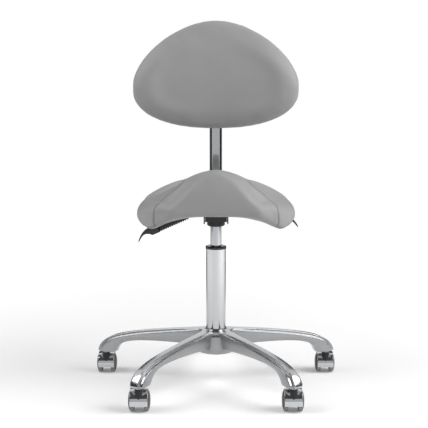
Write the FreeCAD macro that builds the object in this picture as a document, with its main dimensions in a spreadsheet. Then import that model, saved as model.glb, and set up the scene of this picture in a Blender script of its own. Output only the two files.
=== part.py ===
import FreeCAD, Part
import math
import os
from types import SimpleNamespace

import Sketcher

# Saddle stool with a backrest, on a gas lift and a five-arm base with twin-wheel casters.
# Millimetres, +Z up, origin on the floor under the column's axis, the sitter faces -Y.

doc = FreeCAD.newDocument("SaddleStool")
Vector = FreeCAD.Vector


# Driving dimensions

SIZES = (
    # clearances
    ("fit", 0.05, "radial clearance of a fixed or running fit"),
    ("slide_gap", 0.3, "clearance round the backrest's post"),
    ("soft_gap", 0.4, "clearance between foam and what carries it"),
    # casters
    ("stem_circle", 308, "column axis to caster stem"),
    ("wheel_d", 50, "caster wheel diameter"),
    ("wheel_gap", 23, "space between the two wheels of a caster"),
    ("tread_width", 10.6, "tread width"),
    ("tread_depth", 4, "tread depth"),
    ("tread_crown", 0.6, "rise of the tread's middle"),
    ("wheel_dome", 4.2, "bulge of the wheel's outer face"),
    ("wheel_cap_d", 7, "flat middle of the wheel's outer face"),
    ("axle_d", 6, "caster axle diameter"),
    ("axle_reach", 9, "depth of the axle in each wheel"),
    ("trail", 18, "stem axis to wheel axle"),
    ("hood_gap", 2, "space between wheel and hood"),
    ("hood_wall", 2, "hood wall"),
    ("hood_width", 42, "hood width"),
    ("hood_start", 30, "angle of the hood's rear edge above the axle"),
    ("hood_sweep", 164, "angle that the hood covers"),
    ("web_gap", 1.2, "space between web and wheel"),
    ("axle_boss_d", 15, "boss round the caster axle"),
    ("barrel_d", 19, "stem barrel diameter"),
    ("barrel_bottom_z", 20, "lower end of the stem barrel"),
    ("barrel_top_z", 58, "upper end of the stem barrel"),
    ("stem_d", 11, "caster stem diameter"),
    ("stem_bottom_z", 27, "lower end of the stem"),
    ("stem_collar_d", 18, "stem collar diameter"),
    ("stem_collar_depth", 1.7, "stem collar thickness"),
    ("stem_reach", 22, "depth of the stem in the arm"),
    ("grip_ring_rise", 10, "collar to grip ring"),
    ("grip_ring_width", 3, "grip ring width"),
    ("grip_ring_wall", 0.8, "grip ring wall"),
    ("grip_ring_slit", 1.5, "slit of the grip ring"),
    # base
    ("leg_bottom_z", 60, "underside of the arm ends"),
    ("arm_end_d", 40, "round end of an arm"),
    ("arm_root_width", 40, "arm width at the hub"),
    ("arm_waist_width", 26, "arm width before its end"),
    ("arm_root_z", 144, "arm top at the hub"),
    ("arm_middle_z", 133.5, "arm top half way"),
    ("arm_heel", 31, "stem axis to the inner edge of the arm end"),
    ("arm_heel_slope", 20, "slope of the arm end's inner face"),
    ("arm_knee_z", 112, "arm top where it starts to fall"),
    ("arm_knee_radius", 268, "column axis to the knee"),
    ("arm_fall_z", 91, "arm top over the stem"),
    ("arm_under_z", 98, "underside of the arm at the hub"),
    ("arm_under_middle_z", 101, "underside of the arm half way"),
    ("arm_under_knee_z", 91, "underside of the arm at its waist"),
    ("strip_width", 22, "raised strip on top of an arm"),
    ("strip_step", 8, "height of the raised strip"),
    ("hub_d", 66, "hub diameter"),
    ("hub_bottom_z", 86, "hub underside"),
    ("hub_top_z", 144, "hub top"),
    ("hub_bevel", 4, "bevel of the hub's edges"),
    # column
    ("column_d", 50, "column tube diameter"),
    ("column_foot_d", 47, "diameter of the tube's tapered foot"),
    ("column_bore", 43, "bore of the tube"),
    ("column_bottom_z", 80, "lower end of the tube"),
    ("column_top_z", 351, "upper end of the tube"),
    ("column_floor", 3, "thickness of the tube's floor"),
    ("column_floor_bore", 13, "hole in the tube's floor"),
    ("sleeve_length", 80, "length of the guide sleeve in the tube"),
    ("sleeve_ring", 8, "height of the ring above the tube"),
    ("sleeve_ring_d", 53, "diameter of the ring above the tube"),
    ("sleeve_ring_round", 2.5, "rounding of the ring"),
    # gas lift
    ("cylinder_d", 28, "gas cylinder diameter"),
    ("cylinder_bore", 24, "gas cylinder bore"),
    ("cylinder_bottom_z", 127, "lower end of the cylinder"),
    ("cylinder_lip", 2, "rolled lip of the cylinder"),
    ("cylinder_lip_bore", 14, "opening of the lip"),
    ("cylinder_head", 6, "thickness of the cylinder's head"),
    ("cylinder_head_d", 25.2, "diameter of the tapered head"),
    ("cylinder_head_rise", 3, "head above its socket"),
    ("rod_d", 10, "piston rod diameter"),
    ("rod_tail", 4, "rod below the tube's floor"),
    ("rod_top_z", 332, "upper end of the rod and piston"),
    ("piston_length", 12, "piston length"),
    ("clip_d", 18, "rod clip diameter"),
    ("clip_depth", 1.4, "rod clip thickness"),
    ("clip_gap", 0.2, "rod clip to the tube's floor"),
    ("clip_groove_d", 8, "groove in the rod for the clip"),
    ("race_d", 27, "bearing race diameter"),
    ("race_depth", 2.5, "bearing race thickness"),
    ("ball_d", 4, "bearing ball diameter"),
    ("ball_gap", 0.03, "ball to race"),
    ("ball_circle_d", 19, "circle of the bearing balls"),
    ("cage_width", 7, "width of the ball cage ring"),
    ("cage_depth", 2, "thickness of the ball cage"),
    ("bump_d", 24, "rubber buffer diameter"),
    ("bump_length", 13, "rubber buffer length"),
    ("seal_length", 13, "rod guide and seal length"),
    ("valve_d", 6, "release pin diameter"),
    ("valve_rise", 8, "release pin above the head"),
    ("valve_length", 23, "release pin length"),
    # mechanism
    ("socket_bottom_z", 409, "underside of the taper socket"),
    ("socket_length", 41, "length of the taper socket"),
    ("socket_d", 45, "taper socket below the housing"),
    ("socket_neck_d", 33, "taper socket inside the housing"),
    ("socket_bevel", 3, "bevel of the socket's lower edge"),
    ("housing_bottom_z", 428, "underside of the housing"),
    ("housing_width", 54, "housing width"),
    ("housing_wall", 3.5, "housing wall"),
    ("housing_floor", 3, "housing floor"),
    ("housing_front", 75, "column axis to the housing's front"),
    ("housing_rear", 100, "column axis to the housing's rear"),
    ("housing_top_z", 467, "upper edge of the housing"),
    ("stop_front", 84, "column axis to the seat stops"),
    ("tilt_axle_y", 50, "column axis forward to the tilt axle"),
    ("tilt_axle_z", 445, "height of the tilt axle"),
    ("tilt_axle_d", 8, "tilt axle diameter"),
    ("axle_proud", 3, "axle beyond what turns on it"),
    ("bush_d", 12, "tilt bush diameter"),
    ("bush_flange_d", 17, "tilt bush flange"),
    ("bush_flange", 0.6, "thickness of the bush flange"),
    ("ear_gap", 0.8, "housing to the ears beside it"),
    ("back_axle_y", 88, "column axis to the back axle"),
    ("back_axle_z", 448, "height of the back axle"),
    ("back_axle_d", 10, "back axle diameter"),
    # levers
    ("lever_pivot_x", 18, "column axis to the lever pivots"),
    ("lever_pivot_z", 459, "height of the lever pivots"),
    ("lever_pivot_d", 5, "lever pivot diameter"),
    ("cheek_gap", 1, "lever bar to its cheeks"),
    ("cheek_wall", 3, "thickness of the cheeks"),
    ("cheek_depth", 20, "height of the cheeks"),
    ("cheek_reach", 4.5, "pivot to the inner edge of the cheeks"),
    ("bar_width", 10, "lever bar width"),
    ("bar_depth", 8, "lever bar thickness"),
    ("bar_end", 84, "pivot to the bar's outer end"),
    ("height_slope", 24, "slope of the height lever"),
    ("height_bar_inside", 24, "pivot to the height lever's inner end"),
    ("tilt_slope", 14.6, "slope of the tilt lever"),
    ("tilt_bar_inside", 5.5, "pivot to the tilt lever's inner end"),
    ("tilt_lever_y", 70, "column axis back to the tilt lever"),
    ("tilt_lever_extra", 5, "extra length of the tilt lever"),
    ("window_drop", 12, "pivot to the window's sill"),
    ("grip_start", 49.5, "pivot to the start of the grip"),
    ("shank_end", 138, "pivot to the end of the ribbed shank"),
    ("shank_width", 18, "width of the shank"),
    ("shank_depth", 11, "thickness of the shank"),
    ("rib_pitch", 6, "spacing of the grip ribs"),
    ("rib_count", 13, "number of grip ribs"),
    ("rib_rise", 1, "height of a grip rib"),
    ("rib_width", 3, "width of a grip rib"),
    ("block_end", 161, "pivot to the end of the block"),
    ("paddle_width", 24, "width of the paddle"),
    ("paddle_top", 13.9, "height of the paddle's root"),
    ("paddle_mid", 177.5, "pivot to the paddle's middle"),
    ("paddle_mid_top", 10.5, "height of the paddle's middle"),
    ("paddle_tip", 199.5, "pivot to the paddle's tip"),
    ("paddle_tip_drop", 8.5, "drop of the paddle's tip"),
    ("paddle_tip_depth", 1.6, "thickness of the paddle's tip"),
    ("paddle_depth", 8, "thickness of the paddle's middle"),
    # seat
    ("plate_z", 473, "underside of the seat plate"),
    ("plate_depth", 3, "seat plate thickness"),
    ("plate_width", 140, "seat plate width"),
    ("plate_front", 62, "column axis to the plate's front"),
    ("plate_rear", 92, "column axis to the plate's rear"),
    ("ear_depth", 3, "thickness of the seat plate's ears"),
    ("ear_length", 24, "length of the ears"),
    ("ear_bottom_z", 421.5, "lower end of the ears"),
    ("strap_x", 6, "column axis to the lock strap"),
    ("strap_depth", 3, "thickness of the lock strap"),
    ("strap_front", 56, "column axis to the strap's front"),
    ("strap_rear", 80, "column axis to the strap's rear"),
    ("strap_drop", 36, "length of the lock strap"),
    ("lug_gap", 0.5, "lock strap to its backing lug"),
    ("lug_depth", 3, "thickness of the backing lug"),
    ("bolt_x", 50, "seat bolts to the middle"),
    ("bolt_front", 30, "column axis to the front bolts"),
    ("bolt_rear", 66, "column axis to the rear bolts"),
    ("bolt_d", 8, "seat bolt diameter"),
    ("bolt_head_d", 13, "bolt head diameter"),
    ("bolt_head", 5.5, "bolt head height"),
    ("insert_d", 11, "threaded insert diameter"),
    ("insert_length", 8, "threaded insert length"),
    ("seat_width", 405, "seat width"),
    ("seat_front", 168, "column axis to the seat's front"),
    ("seat_rear", 182, "column axis to the seat's rear"),
    ("pommel_z", 558, "top of the pommel"),
    ("lobe_z", 413, "lowest point of the side lobes"),
    ("shell_depth", 11, "seat shell thickness"),
    ("shell_seat", 1.5, "depth of the plate's seat in the shell"),
    ("shell_width", 312, "seat shell width"),
    ("shell_front", 122, "column axis to the shell's front"),
    ("shell_rear", 150, "column axis to the shell's rear"),
    ("shell_droop", 30, "drop of the shell's sides"),
    # back
    ("post_width", 34, "post width"),
    ("post_depth", 16, "post depth"),
    ("post_wall", 2, "post wall"),
    ("post_y", 215, "column axis to the post"),
    ("post_run_z", 424, "height of the post's level run"),
    ("post_run_start", 112, "column axis to the start of the run"),
    ("post_bend", 46, "bend radius of the post"),
    ("post_top_z", 835, "upper end of the post"),
    ("cap_depth", 3, "thickness of the post's cap"),
    ("cap_plug", 12, "length of the cap's plug"),
    ("bracket_wall", 4, "thickness of the back bracket"),
    ("bracket_front", 80, "column axis to the bracket's ears"),
    ("bracket_rear", 146, "column axis to the bracket's rear"),
    ("bracket_top_z", 456, "top of the bracket's ears"),
    ("back_bolt_first", 122, "column axis to the first back bolt"),
    ("back_bolt_pitch", 18, "spacing of the back bolts"),
    ("back_bolt_d", 6, "back bolt diameter"),
    ("back_bolt_head_d", 10, "head and nut diameter of the back bolts"),
    ("back_bolt_head", 4, "head and nut height of the back bolts"),
    # backrest
    ("pad_y", 165, "column axis to the pad's middle"),
    ("pad_z", 757, "height of the pad's widest line"),
    ("pad_width", 438, "pad width"),
    ("pad_rise", 178, "pad above its widest line"),
    ("pad_drop", 106, "pad below its widest line"),
    ("pad_front", 28, "crown of the pad's front"),
    ("pad_back", 18, "pad's middle to its back"),
    ("pad_wrap", 18, "how far the sides of the pad come forward"),
    ("pad_edge", 15, "rounding of the pad's edge"),
    ("board_depth", 8, "backrest board thickness"),
    ("board_width", 270, "backrest board width"),
    ("board_height", 130, "backrest board height"),
    ("board_gap", 0.6, "board to pad"),
    ("carriage_width", 62, "carriage width"),
    ("carriage_height", 80, "carriage height"),
    ("carriage_back", 17, "post axis to the carriage's back"),
    ("carriage_z", 740, "height of the carriage's middle"),
    ("screw_x", 24.5, "backrest screws to the middle"),
    ("screw_pitch", 56, "spacing of the backrest screws"),
    ("screw_d", 5, "backrest screw diameter"),
    ("screw_head_d", 9, "backrest screw head"),
    ("screw_head", 3.5, "height of the screw head"),
    ("screw_bite", 6, "depth of the screws in the board"),
    ("knob_d", 40, "clamp knob diameter"),
    ("knob_depth", 22, "clamp knob depth"),
    ("knob_gap", 1.5, "knob to carriage"),
    ("knob_round", 4, "rounding of the knob"),
    ("stud_d", 8, "knob stud diameter"),
    ("stud_bite", 10, "stud inside the knob"),
)


class Size:
    """A length that carries its value and the sheet expression that it comes from."""

    def __init__(self, value, text):
        self.value = value
        self.text = text

    def __float__(self):
        return self.value

    def __add__(self, other):
        other = as_size(other)
        return Size(self.value + other.value, f"({self.text} + {other.text})")

    def __sub__(self, other):
        other = as_size(other)
        return Size(self.value - other.value, f"({self.text} - {other.text})")

    def __mul__(self, other):
        other = as_size(other)
        return Size(self.value * other.value, f"({self.text} * {other.text})")

    def __truediv__(self, other):
        other = as_size(other)
        return Size(self.value / other.value, f"({self.text} / {other.text})")

    def __neg__(self):
        return Size(-self.value, f"(-1 * {self.text})")

    def __radd__(self, other):
        return as_size(other) + self

    def __rsub__(self, other):
        return as_size(other) - self

    def __rmul__(self, other):
        return as_size(other) * self


def as_size(thing):
    if isinstance(thing, Size):
        return thing
    return Size(float(thing), f"({float(thing):.9f})")


sheet = doc.addObject("Spreadsheet::Sheet", "Sizes")
s = SimpleNamespace()
for row, (alias, value, meaning) in enumerate(SIZES, start=1):
    sheet.set(f"A{row}", meaning)
    sheet.set(f"B{row}", str(value))
    sheet.setAlias(f"B{row}", alias)
    setattr(s, alias, Size(float(value), f"Sizes.{alias}"))
doc.recompute()


# Building blocks

ZERO = as_size(0)
SIDES = (("left", -1), ("right", 1))
AXES = {
    "Z": FreeCAD.Rotation(),
    "X": FreeCAD.Rotation(Vector(0, 1, 0), 90),
    "Y": FreeCAD.Rotation(Vector(1, 0, 0), -90),
}


def bind(item, bindings):
    for name, size in bindings.items():
        item.setExpression(name, as_size(size).text)


def place(item, x=ZERO, y=ZERO, z=ZERO, rotation=FreeCAD.Rotation()):
    item.Placement = FreeCAD.Placement(Vector(float(x), float(y), float(z)), rotation)
    bind(item, {"Placement.Base.x": x, "Placement.Base.y": y, "Placement.Base.z": z})
    return item


def box(name, x, y, z):
    """A block between two limits along each axis."""
    item = doc.addObject("Part::Box", name)
    bind(item, {"Length": x[1] - x[0], "Width": y[1] - y[0], "Height": z[1] - z[0]})
    return place(item, x[0], y[0], z[0])


def rod(name, diameter, span, x=ZERO, y=ZERO, z=ZERO, along="Z"):
    """A round bar that covers a span along one axis."""
    item = doc.addObject("Part::Cylinder", name)
    bind(item, {"Radius": diameter / 2, "Height": span[1] - span[0]})
    start = {"X": (span[0], y, z), "Y": (x, span[0], z), "Z": (x, y, span[0])}[along]
    return place(item, *start, AXES[along])


def sector(name, radius, width, start_angle, sweep, y, z):
    """A slice of a disc about a level axis along X, centred on the middle plane."""
    item = doc.addObject("Part::Cylinder", name)
    bind(item, {"Radius": radius, "Height": width, "Angle": sweep})
    turn = FreeCAD.Rotation(Vector(1, 0, 0), float(start_angle))
    return place(item, -width / 2, y, z, turn * FreeCAD.Rotation(Vector(0, 1, 0), Vector(0, 0, 1),
                                                                 Vector(1, 0, 0)))


def fuse(name, items):
    item = doc.addObject("Part::MultiFuse", name)
    item.Shapes = items
    return item


def cut(name, base, tools):
    item = doc.addObject("Part::Cut", name)
    item.Base = base
    item.Tool = tools[0] if len(tools) == 1 else fuse(name + "_cuts", tools)
    return item


def group(name, items):
    item = doc.addObject("Part::Compound", name)
    item.Links = items
    return item


def copy(name, items, x=ZERO, y=ZERO, z=ZERO, rotation=FreeCAD.Rotation()):
    return place(group(name, items), x, y, z, rotation)


def solid(name, shape):
    item = doc.addObject("Part::Feature", name)
    item.Shape = shape
    item.Placement = FreeCAD.Placement()
    return item


def limits(sign, first, last):
    """Two limits on one side of the middle plane, the lower one first."""
    return (first, last) if sign > 0 else (-last, -first)


def sketch_on(body, plane, name, offset=None):
    sketch = body.newObject("Sketcher::SketchObject", name)
    support = [feature for feature in body.Origin.OriginFeatures if feature.Role == plane][0]
    sketch.AttachmentSupport = [(support, "")]
    sketch.MapMode = "FlatFace"
    if offset is not None:
        sketch.setExpression("AttachmentOffset.Base.z", as_size(offset).text)
    return sketch


def pin_point(sketch, geometry, end, x, y):
    """Holds one point of a sketch at its place from the sketch's origin."""
    for kind, size in (("DistanceX", x), ("DistanceY", y)):
        size = as_size(size)
        index = sketch.addConstraint(Sketcher.Constraint(kind, -1, 1, geometry, end, size.value))
        sketch.setExpression(f"Constraints[{index}]", size.text)


def outline(sketch, corners, closed=True):
    """Lines from corner to corner; a third entry, a point, makes that side an arc through it."""
    count = len(corners) if closed else len(corners) - 1
    ends = []
    for k in range(count):
        here, there = corners[k], corners[(k + 1) % len(corners)]
        first = Vector(float(here[0]), float(here[1]), 0)
        last = Vector(float(there[0]), float(there[1]), 0)
        if len(here) == 2:
            index = sketch.addGeometry(Part.LineSegment(first, last))
            ends.append((index, 1, 2))
            continue
        middle = Vector(float(here[2][0]), float(here[2][1]), 0)
        index = sketch.addGeometry(Part.Arc(first, middle, last))
        begin = sketch.getPoint(index, 1)
        forward = (begin - first).Length < (begin - last).Length
        ends.append((index, 1, 2) if forward else (index, 2, 1))
        mark = sketch.addGeometry(Part.Point(middle), True)
        sketch.addConstraint(Sketcher.Constraint("PointOnObject", mark, 1, index))
        pin_point(sketch, mark, 1, *here[2])
    for k in range(count if closed else count - 1):
        index, _, finish = ends[k]
        following, start, _ = ends[(k + 1) % count]
        sketch.addConstraint(Sketcher.Constraint("Coincident", index, finish, following, start))
    for k in range(count):
        pin_point(sketch, ends[k][0], ends[k][1], corners[k][0], corners[k][1])
    if not closed:
        pin_point(sketch, ends[-1][0], ends[-1][2], corners[-1][0], corners[-1][1])
    return sketch


def turned(name, profile, axis="V_Axis"):
    """A turned piece: (radius, height) corners about Z, or (x, radius) corners about X."""
    body = doc.addObject("PartDesign::Body", name)
    profile_sketch = outline(sketch_on(body, "XZ_Plane", name + "_profile"), profile)
    turn = body.newObject("PartDesign::Revolution", name + "_turn")
    turn.Profile = profile_sketch
    turn.ReferenceAxis = (profile_sketch, [axis])
    turn.Angle = 360
    return body


def padded(body, name, corners, width):
    """A flat outline in the XZ plane, thickened evenly to both sides."""
    profile_sketch = outline(sketch_on(body, "XZ_Plane", name + "_outline"), corners)
    pad = body.newObject("PartDesign::Pad", name + "_pad")
    pad.Profile = profile_sketch
    pad.SideType = "Symmetric"
    bind(pad, {"Length": width})
    return pad


def arc_wire(corners):
    """A closed wire in space; each corner is a point, with a second one where its side is an arc."""
    edges = []
    for k, corner in enumerate(corners):
        following = corners[(k + 1) % len(corners)]
        if len(corner) == 1:
            edges.append(Part.LineSegment(corner[0], following[0]).toShape())
        else:
            edges.append(Part.Arc(corner[0], corner[1], following[0]).toShape())
    return Part.Wire(edges)


# Casters: hood with stem barrel and web, axle, and two wheels that turn on their own

STEM_ANGLES = (90, 162, 234, 306, 18)
axle_z = s.wheel_d / 2
hood_radius = s.wheel_d / 2 + s.hood_gap + s.hood_wall
web_width = s.wheel_gap - s.web_gap * 2
stem_top_z = s.leg_bottom_z + s.stem_reach
axle_half = s.wheel_gap / 2 + s.axle_reach
DOME_SHOULDER = 0.6
DOME_FULLNESS = 0.72


def stem_copy(name, items, angle):
    """Copies set on the stem circle, all facing the same way."""
    radians = math.radians(angle)
    return copy(name, items, s.stem_circle * math.cos(radians), s.stem_circle * math.sin(radians))


hood_bow = cut("hood_bow", sector("hood_outside", hood_radius, s.hood_width, s.hood_start, s.hood_sweep,
                                  s.trail, axle_z),
               [rod("hood_inside", s.wheel_d + s.hood_gap * 2, (-s.hood_width, s.hood_width), y=s.trail,
                    z=axle_z, along="X")])
hood_web = sector("hood_web", hood_radius - s.hood_wall / 2, web_width, s.hood_start, s.hood_sweep, s.trail,
                  axle_z)
hood_boss = rod("hood_boss", s.axle_boss_d, (-web_width / 2, web_width / 2), y=s.trail, z=axle_z, along="X")
hood_barrel = rod("hood_barrel", s.barrel_d, (s.barrel_bottom_z, s.barrel_top_z))
hood = cut("hood", fuse("hood_blank", [hood_bow, hood_web, hood_boss, hood_barrel]),
           [rod("stem_bore", s.stem_d + s.fit * 2, (s.stem_bottom_z - s.clip_gap,
                                                    s.barrel_top_z + s.hood_wall)),
            rod("axle_bore", s.axle_d + s.fit * 2, (-s.hood_width, s.hood_width), y=s.trail, z=axle_z,
                along="X")])
axle = rod("axle", s.axle_d, (-axle_half, axle_half), y=s.trail, z=axle_z, along="X")


def wheel(side, sign):
    """The domed core and the tread of one wheel, turned about the axle."""
    inner = s.wheel_gap / 2 * sign
    outer = (s.wheel_gap / 2 + s.tread_width) * sign
    apex = (s.wheel_gap / 2 + s.tread_width + s.wheel_dome) * sign
    bow = (s.wheel_gap / 2 + s.tread_width + s.wheel_dome * DOME_FULLNESS) * sign
    bore_end = (axle_half + s.clip_gap) * sign
    bore = s.axle_d / 2 + s.fit
    seat = s.wheel_d / 2 - s.tread_depth
    rim = s.wheel_d / 2 - s.tread_crown
    core = turned(f"wheel_core_{side}", [
        (inner, bore), (inner, seat), (outer, seat, (bow, seat * DOME_SHOULDER)), (apex, s.wheel_cap_d / 2),
        (apex, ZERO), (bore_end, ZERO), (bore_end, bore),
    ], "H_Axis")
    tread = turned(f"wheel_tread_{side}", [
        (inner, seat + s.fit), (inner, rim, ((inner + outer) / 2, s.wheel_d / 2)), (outer, rim),
        (outer, seat + s.fit),
    ], "H_Axis")
    return [place(core, y=s.trail, z=axle_z), place(tread, y=s.trail, z=axle_z)]


wheels = {"left": wheel("left", -1), "right": wheel("right", 1)}

ring_low = s.leg_bottom_z + s.grip_ring_rise
ring_high = ring_low + s.grip_ring_width
collar_low = s.leg_bottom_z - s.stem_collar_depth
groove_radius = s.stem_d / 2 - s.grip_ring_wall - s.fit
stem = turned("stem", [
    (ZERO, s.stem_bottom_z), (s.stem_d / 2, s.stem_bottom_z), (s.stem_d / 2, collar_low),
    (s.stem_collar_d / 2, collar_low), (s.stem_collar_d / 2, s.leg_bottom_z),
    (s.stem_d / 2, s.leg_bottom_z),
    (s.stem_d / 2, ring_low), (groove_radius, ring_low), (groove_radius, ring_high),
    (s.stem_d / 2, ring_high),
    (s.stem_d / 2, stem_top_z), (ZERO, stem_top_z),
])
ring_blank = turned("ring_blank", [
    (groove_radius + s.fit, ring_low + s.fit), (s.stem_d / 2, ring_low + s.fit),
    (s.stem_d / 2, ring_high - s.fit), (groove_radius + s.fit, ring_high - s.fit),
])
grip_ring = cut("grip_ring", ring_blank, [box("ring_slit", (ZERO, s.stem_d),
                                              (-s.grip_ring_slit / 2, s.grip_ring_slit / 2),
                                              (s.leg_bottom_z, stem_top_z))])

nodes = []
for number, angle in enumerate(STEM_ANGLES, start=1):
    nodes.append(stem_copy(f"caster_hood_{number}", [hood], angle))
    nodes.append(stem_copy(f"caster_axle_{number}", [axle], angle))
    for side in ("left", "right"):
        nodes.append(stem_copy(f"caster_wheel_{number}_{side}", wheels[side], angle))
nodes.append(group("caster_stems", [stem_copy(f"stem_{angle}", [stem], angle) for angle in STEM_ANGLES]))
nodes.append(group("stem_grip_rings", [stem_copy(f"ring_{angle}", [grip_ring],
                                                 angle) for angle in STEM_ANGLES]))


# Base star: a turned hub with five cast arms, each a broad lower body under a raised strip

def arm_tier(width_root, width_waist, end_width, step):
    """One tier of an arm along +X: its side outline and its plan outline, cut to each other."""
    reach = float(s.stem_circle) + end_width / 2
    knee = float(s.arm_knee_radius)
    heel = float(s.stem_circle) - float(s.arm_heel)
    low = float(s.leg_bottom_z)
    under_knee = float(s.arm_under_knee_z)
    fall = Vector(float(s.stem_circle) + step / 4, 0, float(s.arm_fall_z) - step)
    half_way = Vector(knee / 2, 0, float(s.arm_middle_z) - step)
    side = arc_wire([
        (Vector(0, 0, float(s.arm_root_z) - step), half_way),
        (Vector(knee, 0, float(s.arm_knee_z) - step), fall),
        (Vector(reach, 0, low),),
        (Vector(heel, 0, low),),
        (Vector(heel - float(s.arm_heel_slope), 0, under_knee),
         Vector(knee / 2, 0, float(s.arm_under_middle_z))),
        (Vector(0, 0, float(s.arm_under_z)),),
    ])
    plan = arc_wire([
        (Vector(0, -width_root / 2, 0),),
        (Vector(knee, -width_waist / 2, 0),),
        (Vector(float(s.stem_circle), -end_width / 2, 0), Vector(reach, 0, 0)),
        (Vector(float(s.stem_circle), end_width / 2, 0),),
        (Vector(knee, width_waist / 2, 0),),
        (Vector(0, width_root / 2, 0),),
    ])
    span = width_root + end_width
    slab = Part.Face(side).extrude(Vector(0, span * 2, 0)).translated(Vector(0, -span, 0))
    return slab.common(Part.Face(plan).extrude(Vector(0, 0, float(s.arm_root_z))))


arm_body = arm_tier(float(s.arm_root_width), float(s.arm_waist_width), float(s.arm_end_d),
                    float(s.strip_step))
arm_strip = arm_tier(float(s.strip_width), float(s.strip_width), float(s.strip_width), 0.0)
arm = solid("arm", arm_body.fuse(arm_strip).removeSplitter())
arms = [copy(f"arm_{angle}", [arm], rotation=FreeCAD.Rotation(Vector(0, 0, 1),
                                                              angle)) for angle in STEM_ANGLES]
hub = turned("hub", [
    (ZERO, s.hub_bottom_z), (s.hub_d / 2 - s.hub_bevel, s.hub_bottom_z),
    (s.hub_d / 2, s.hub_bottom_z + s.hub_bevel),
    (s.hub_d / 2, s.hub_top_z - s.hub_bevel), (s.hub_d / 2 - s.hub_bevel, s.hub_top_z), (ZERO, s.hub_top_z),
])
hub_bore = doc.addObject("Part::Cone", "hub_bore")
bind(hub_bore, {"Radius1": s.column_foot_d / 2 + s.fit, "Radius2": s.column_d / 2 + s.fit,
                "Height": s.hub_top_z - s.column_bottom_z})
place(hub_bore, z=s.column_bottom_z)
socket = rod("socket", s.stem_d + s.fit * 2, (s.leg_bottom_z, stem_top_z + s.fit))
sockets = [stem_copy(f"socket_{angle}", [socket], angle) for angle in STEM_ANGLES]
arm_clear = rod("arm_clear", s.column_d + s.fit * 2, (s.hub_top_z, s.column_top_z))
nodes.append(cut("base_star", fuse("star_blank", [hub] + arms), [hub_bore, arm_clear] + sockets))


# Column: tapered tube, guide sleeve with its ring, thrust bearing

floor_top = s.column_bottom_z + s.column_floor
nodes.append(turned("column_tube", [
    (s.column_floor_bore / 2, s.column_bottom_z), (s.column_foot_d / 2, s.column_bottom_z),
    (s.column_d / 2, s.hub_top_z), (s.column_d / 2, s.column_top_z), (s.column_bore / 2, s.column_top_z),
    (s.column_bore / 2, floor_top), (s.column_floor_bore / 2, floor_top),
]))
ring_top = s.column_top_z + s.sleeve_ring
sleeve_bore = s.cylinder_d / 2 + s.fit
round_off = s.sleeve_ring_round
round_bow = round_off * (1 - math.sqrt(0.5))
nodes.append(turned("guide_sleeve", [
    (sleeve_bore, s.column_top_z - s.sleeve_length),
    (s.column_bore / 2 - s.fit, s.column_top_z - s.sleeve_length),
    (s.column_bore / 2 - s.fit, s.column_top_z), (s.sleeve_ring_d / 2, s.column_top_z),
    (s.sleeve_ring_d / 2, ring_top - round_off,
     (s.sleeve_ring_d / 2 - round_bow, ring_top - round_bow)),
    (s.sleeve_ring_d / 2 - round_off, ring_top), (sleeve_bore, ring_top),
]))

race_low = floor_top
balls_low = race_low + s.race_depth
balls_mid = balls_low + s.ball_gap + s.ball_d / 2
upper_race_low = balls_mid + s.ball_d / 2 + s.ball_gap
bump_low = upper_race_low + s.race_depth
nodes.append(turned("bearing_lower_race", [
    (s.column_floor_bore / 2, race_low), (s.race_d / 2, race_low), (s.race_d / 2, balls_low),
    (s.column_floor_bore / 2, balls_low),
]))
nodes.append(turned("bearing_upper_race", [
    (s.rod_d / 2 + s.fit, upper_race_low), (s.race_d / 2, upper_race_low), (s.race_d / 2, bump_low),
    (s.rod_d / 2 + s.fit, bump_low),
]))
BALL_ANGLES = range(0, 360, 45)
cage_blank = turned("cage_blank", [
    ((s.ball_circle_d - s.cage_width) / 2, balls_mid - s.cage_depth / 2),
    ((s.ball_circle_d + s.cage_width) / 2, balls_mid - s.cage_depth / 2),
    ((s.ball_circle_d + s.cage_width) / 2, balls_mid + s.cage_depth / 2),
    ((s.ball_circle_d - s.cage_width) / 2, balls_mid + s.cage_depth / 2),
])
balls = []
pockets = []
for angle in BALL_ANGLES:
    x = s.ball_circle_d / 2 * math.cos(math.radians(angle))
    y = s.ball_circle_d / 2 * math.sin(math.radians(angle))
    ball = doc.addObject("Part::Sphere", f"ball_{angle}")
    bind(ball, {"Radius": s.ball_d / 2})
    balls.append(place(ball, x, y, balls_mid))
    pockets.append(rod(f"pocket_{angle}", s.ball_d + s.fit * 2, (balls_low, upper_race_low), x, y))
nodes.append(group("bearing_ball_cage", [cut("cage", cage_blank, pockets)] + balls))


# Gas lift: rod with clip, buffer and piston; cylinder with seal, tapered head and release pin

clip_top = s.column_bottom_z - s.clip_gap
clip_low = clip_top - s.clip_depth
rod_low = s.column_bottom_z - s.rod_tail
piston_low = s.rod_top_z - s.piston_length
nodes.append(turned("piston_rod", [
    (ZERO, rod_low), (s.rod_d / 2, rod_low), (s.rod_d / 2, clip_low - s.fit),
    (s.clip_groove_d / 2, clip_low - s.fit),
    (s.clip_groove_d / 2, clip_top + s.fit), (s.rod_d / 2, clip_top + s.fit), (s.rod_d / 2, s.rod_top_z),
    (ZERO, s.rod_top_z),
]))
nodes.append(turned("rod_clip", [
    (s.clip_groove_d / 2 + s.fit, clip_low), (s.clip_d / 2, clip_low), (s.clip_d / 2, clip_top),
    (s.clip_groove_d / 2 + s.fit, clip_top),
]))
nodes.append(turned("bump_stop", [
    (s.rod_d / 2 + s.fit, bump_low), (s.bump_d / 2, bump_low),
    (s.bump_d / 2 - s.hood_wall, bump_low + s.bump_length),
    (s.rod_d / 2 + s.fit, bump_low + s.bump_length),
]))
nodes.append(turned("piston_head", [
    (s.rod_d / 2 + s.fit, piston_low), (s.cylinder_bore / 2 - s.fit, piston_low),
    (s.cylinder_bore / 2 - s.fit, s.rod_top_z), (s.rod_d / 2 + s.fit, s.rod_top_z),
]))

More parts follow.
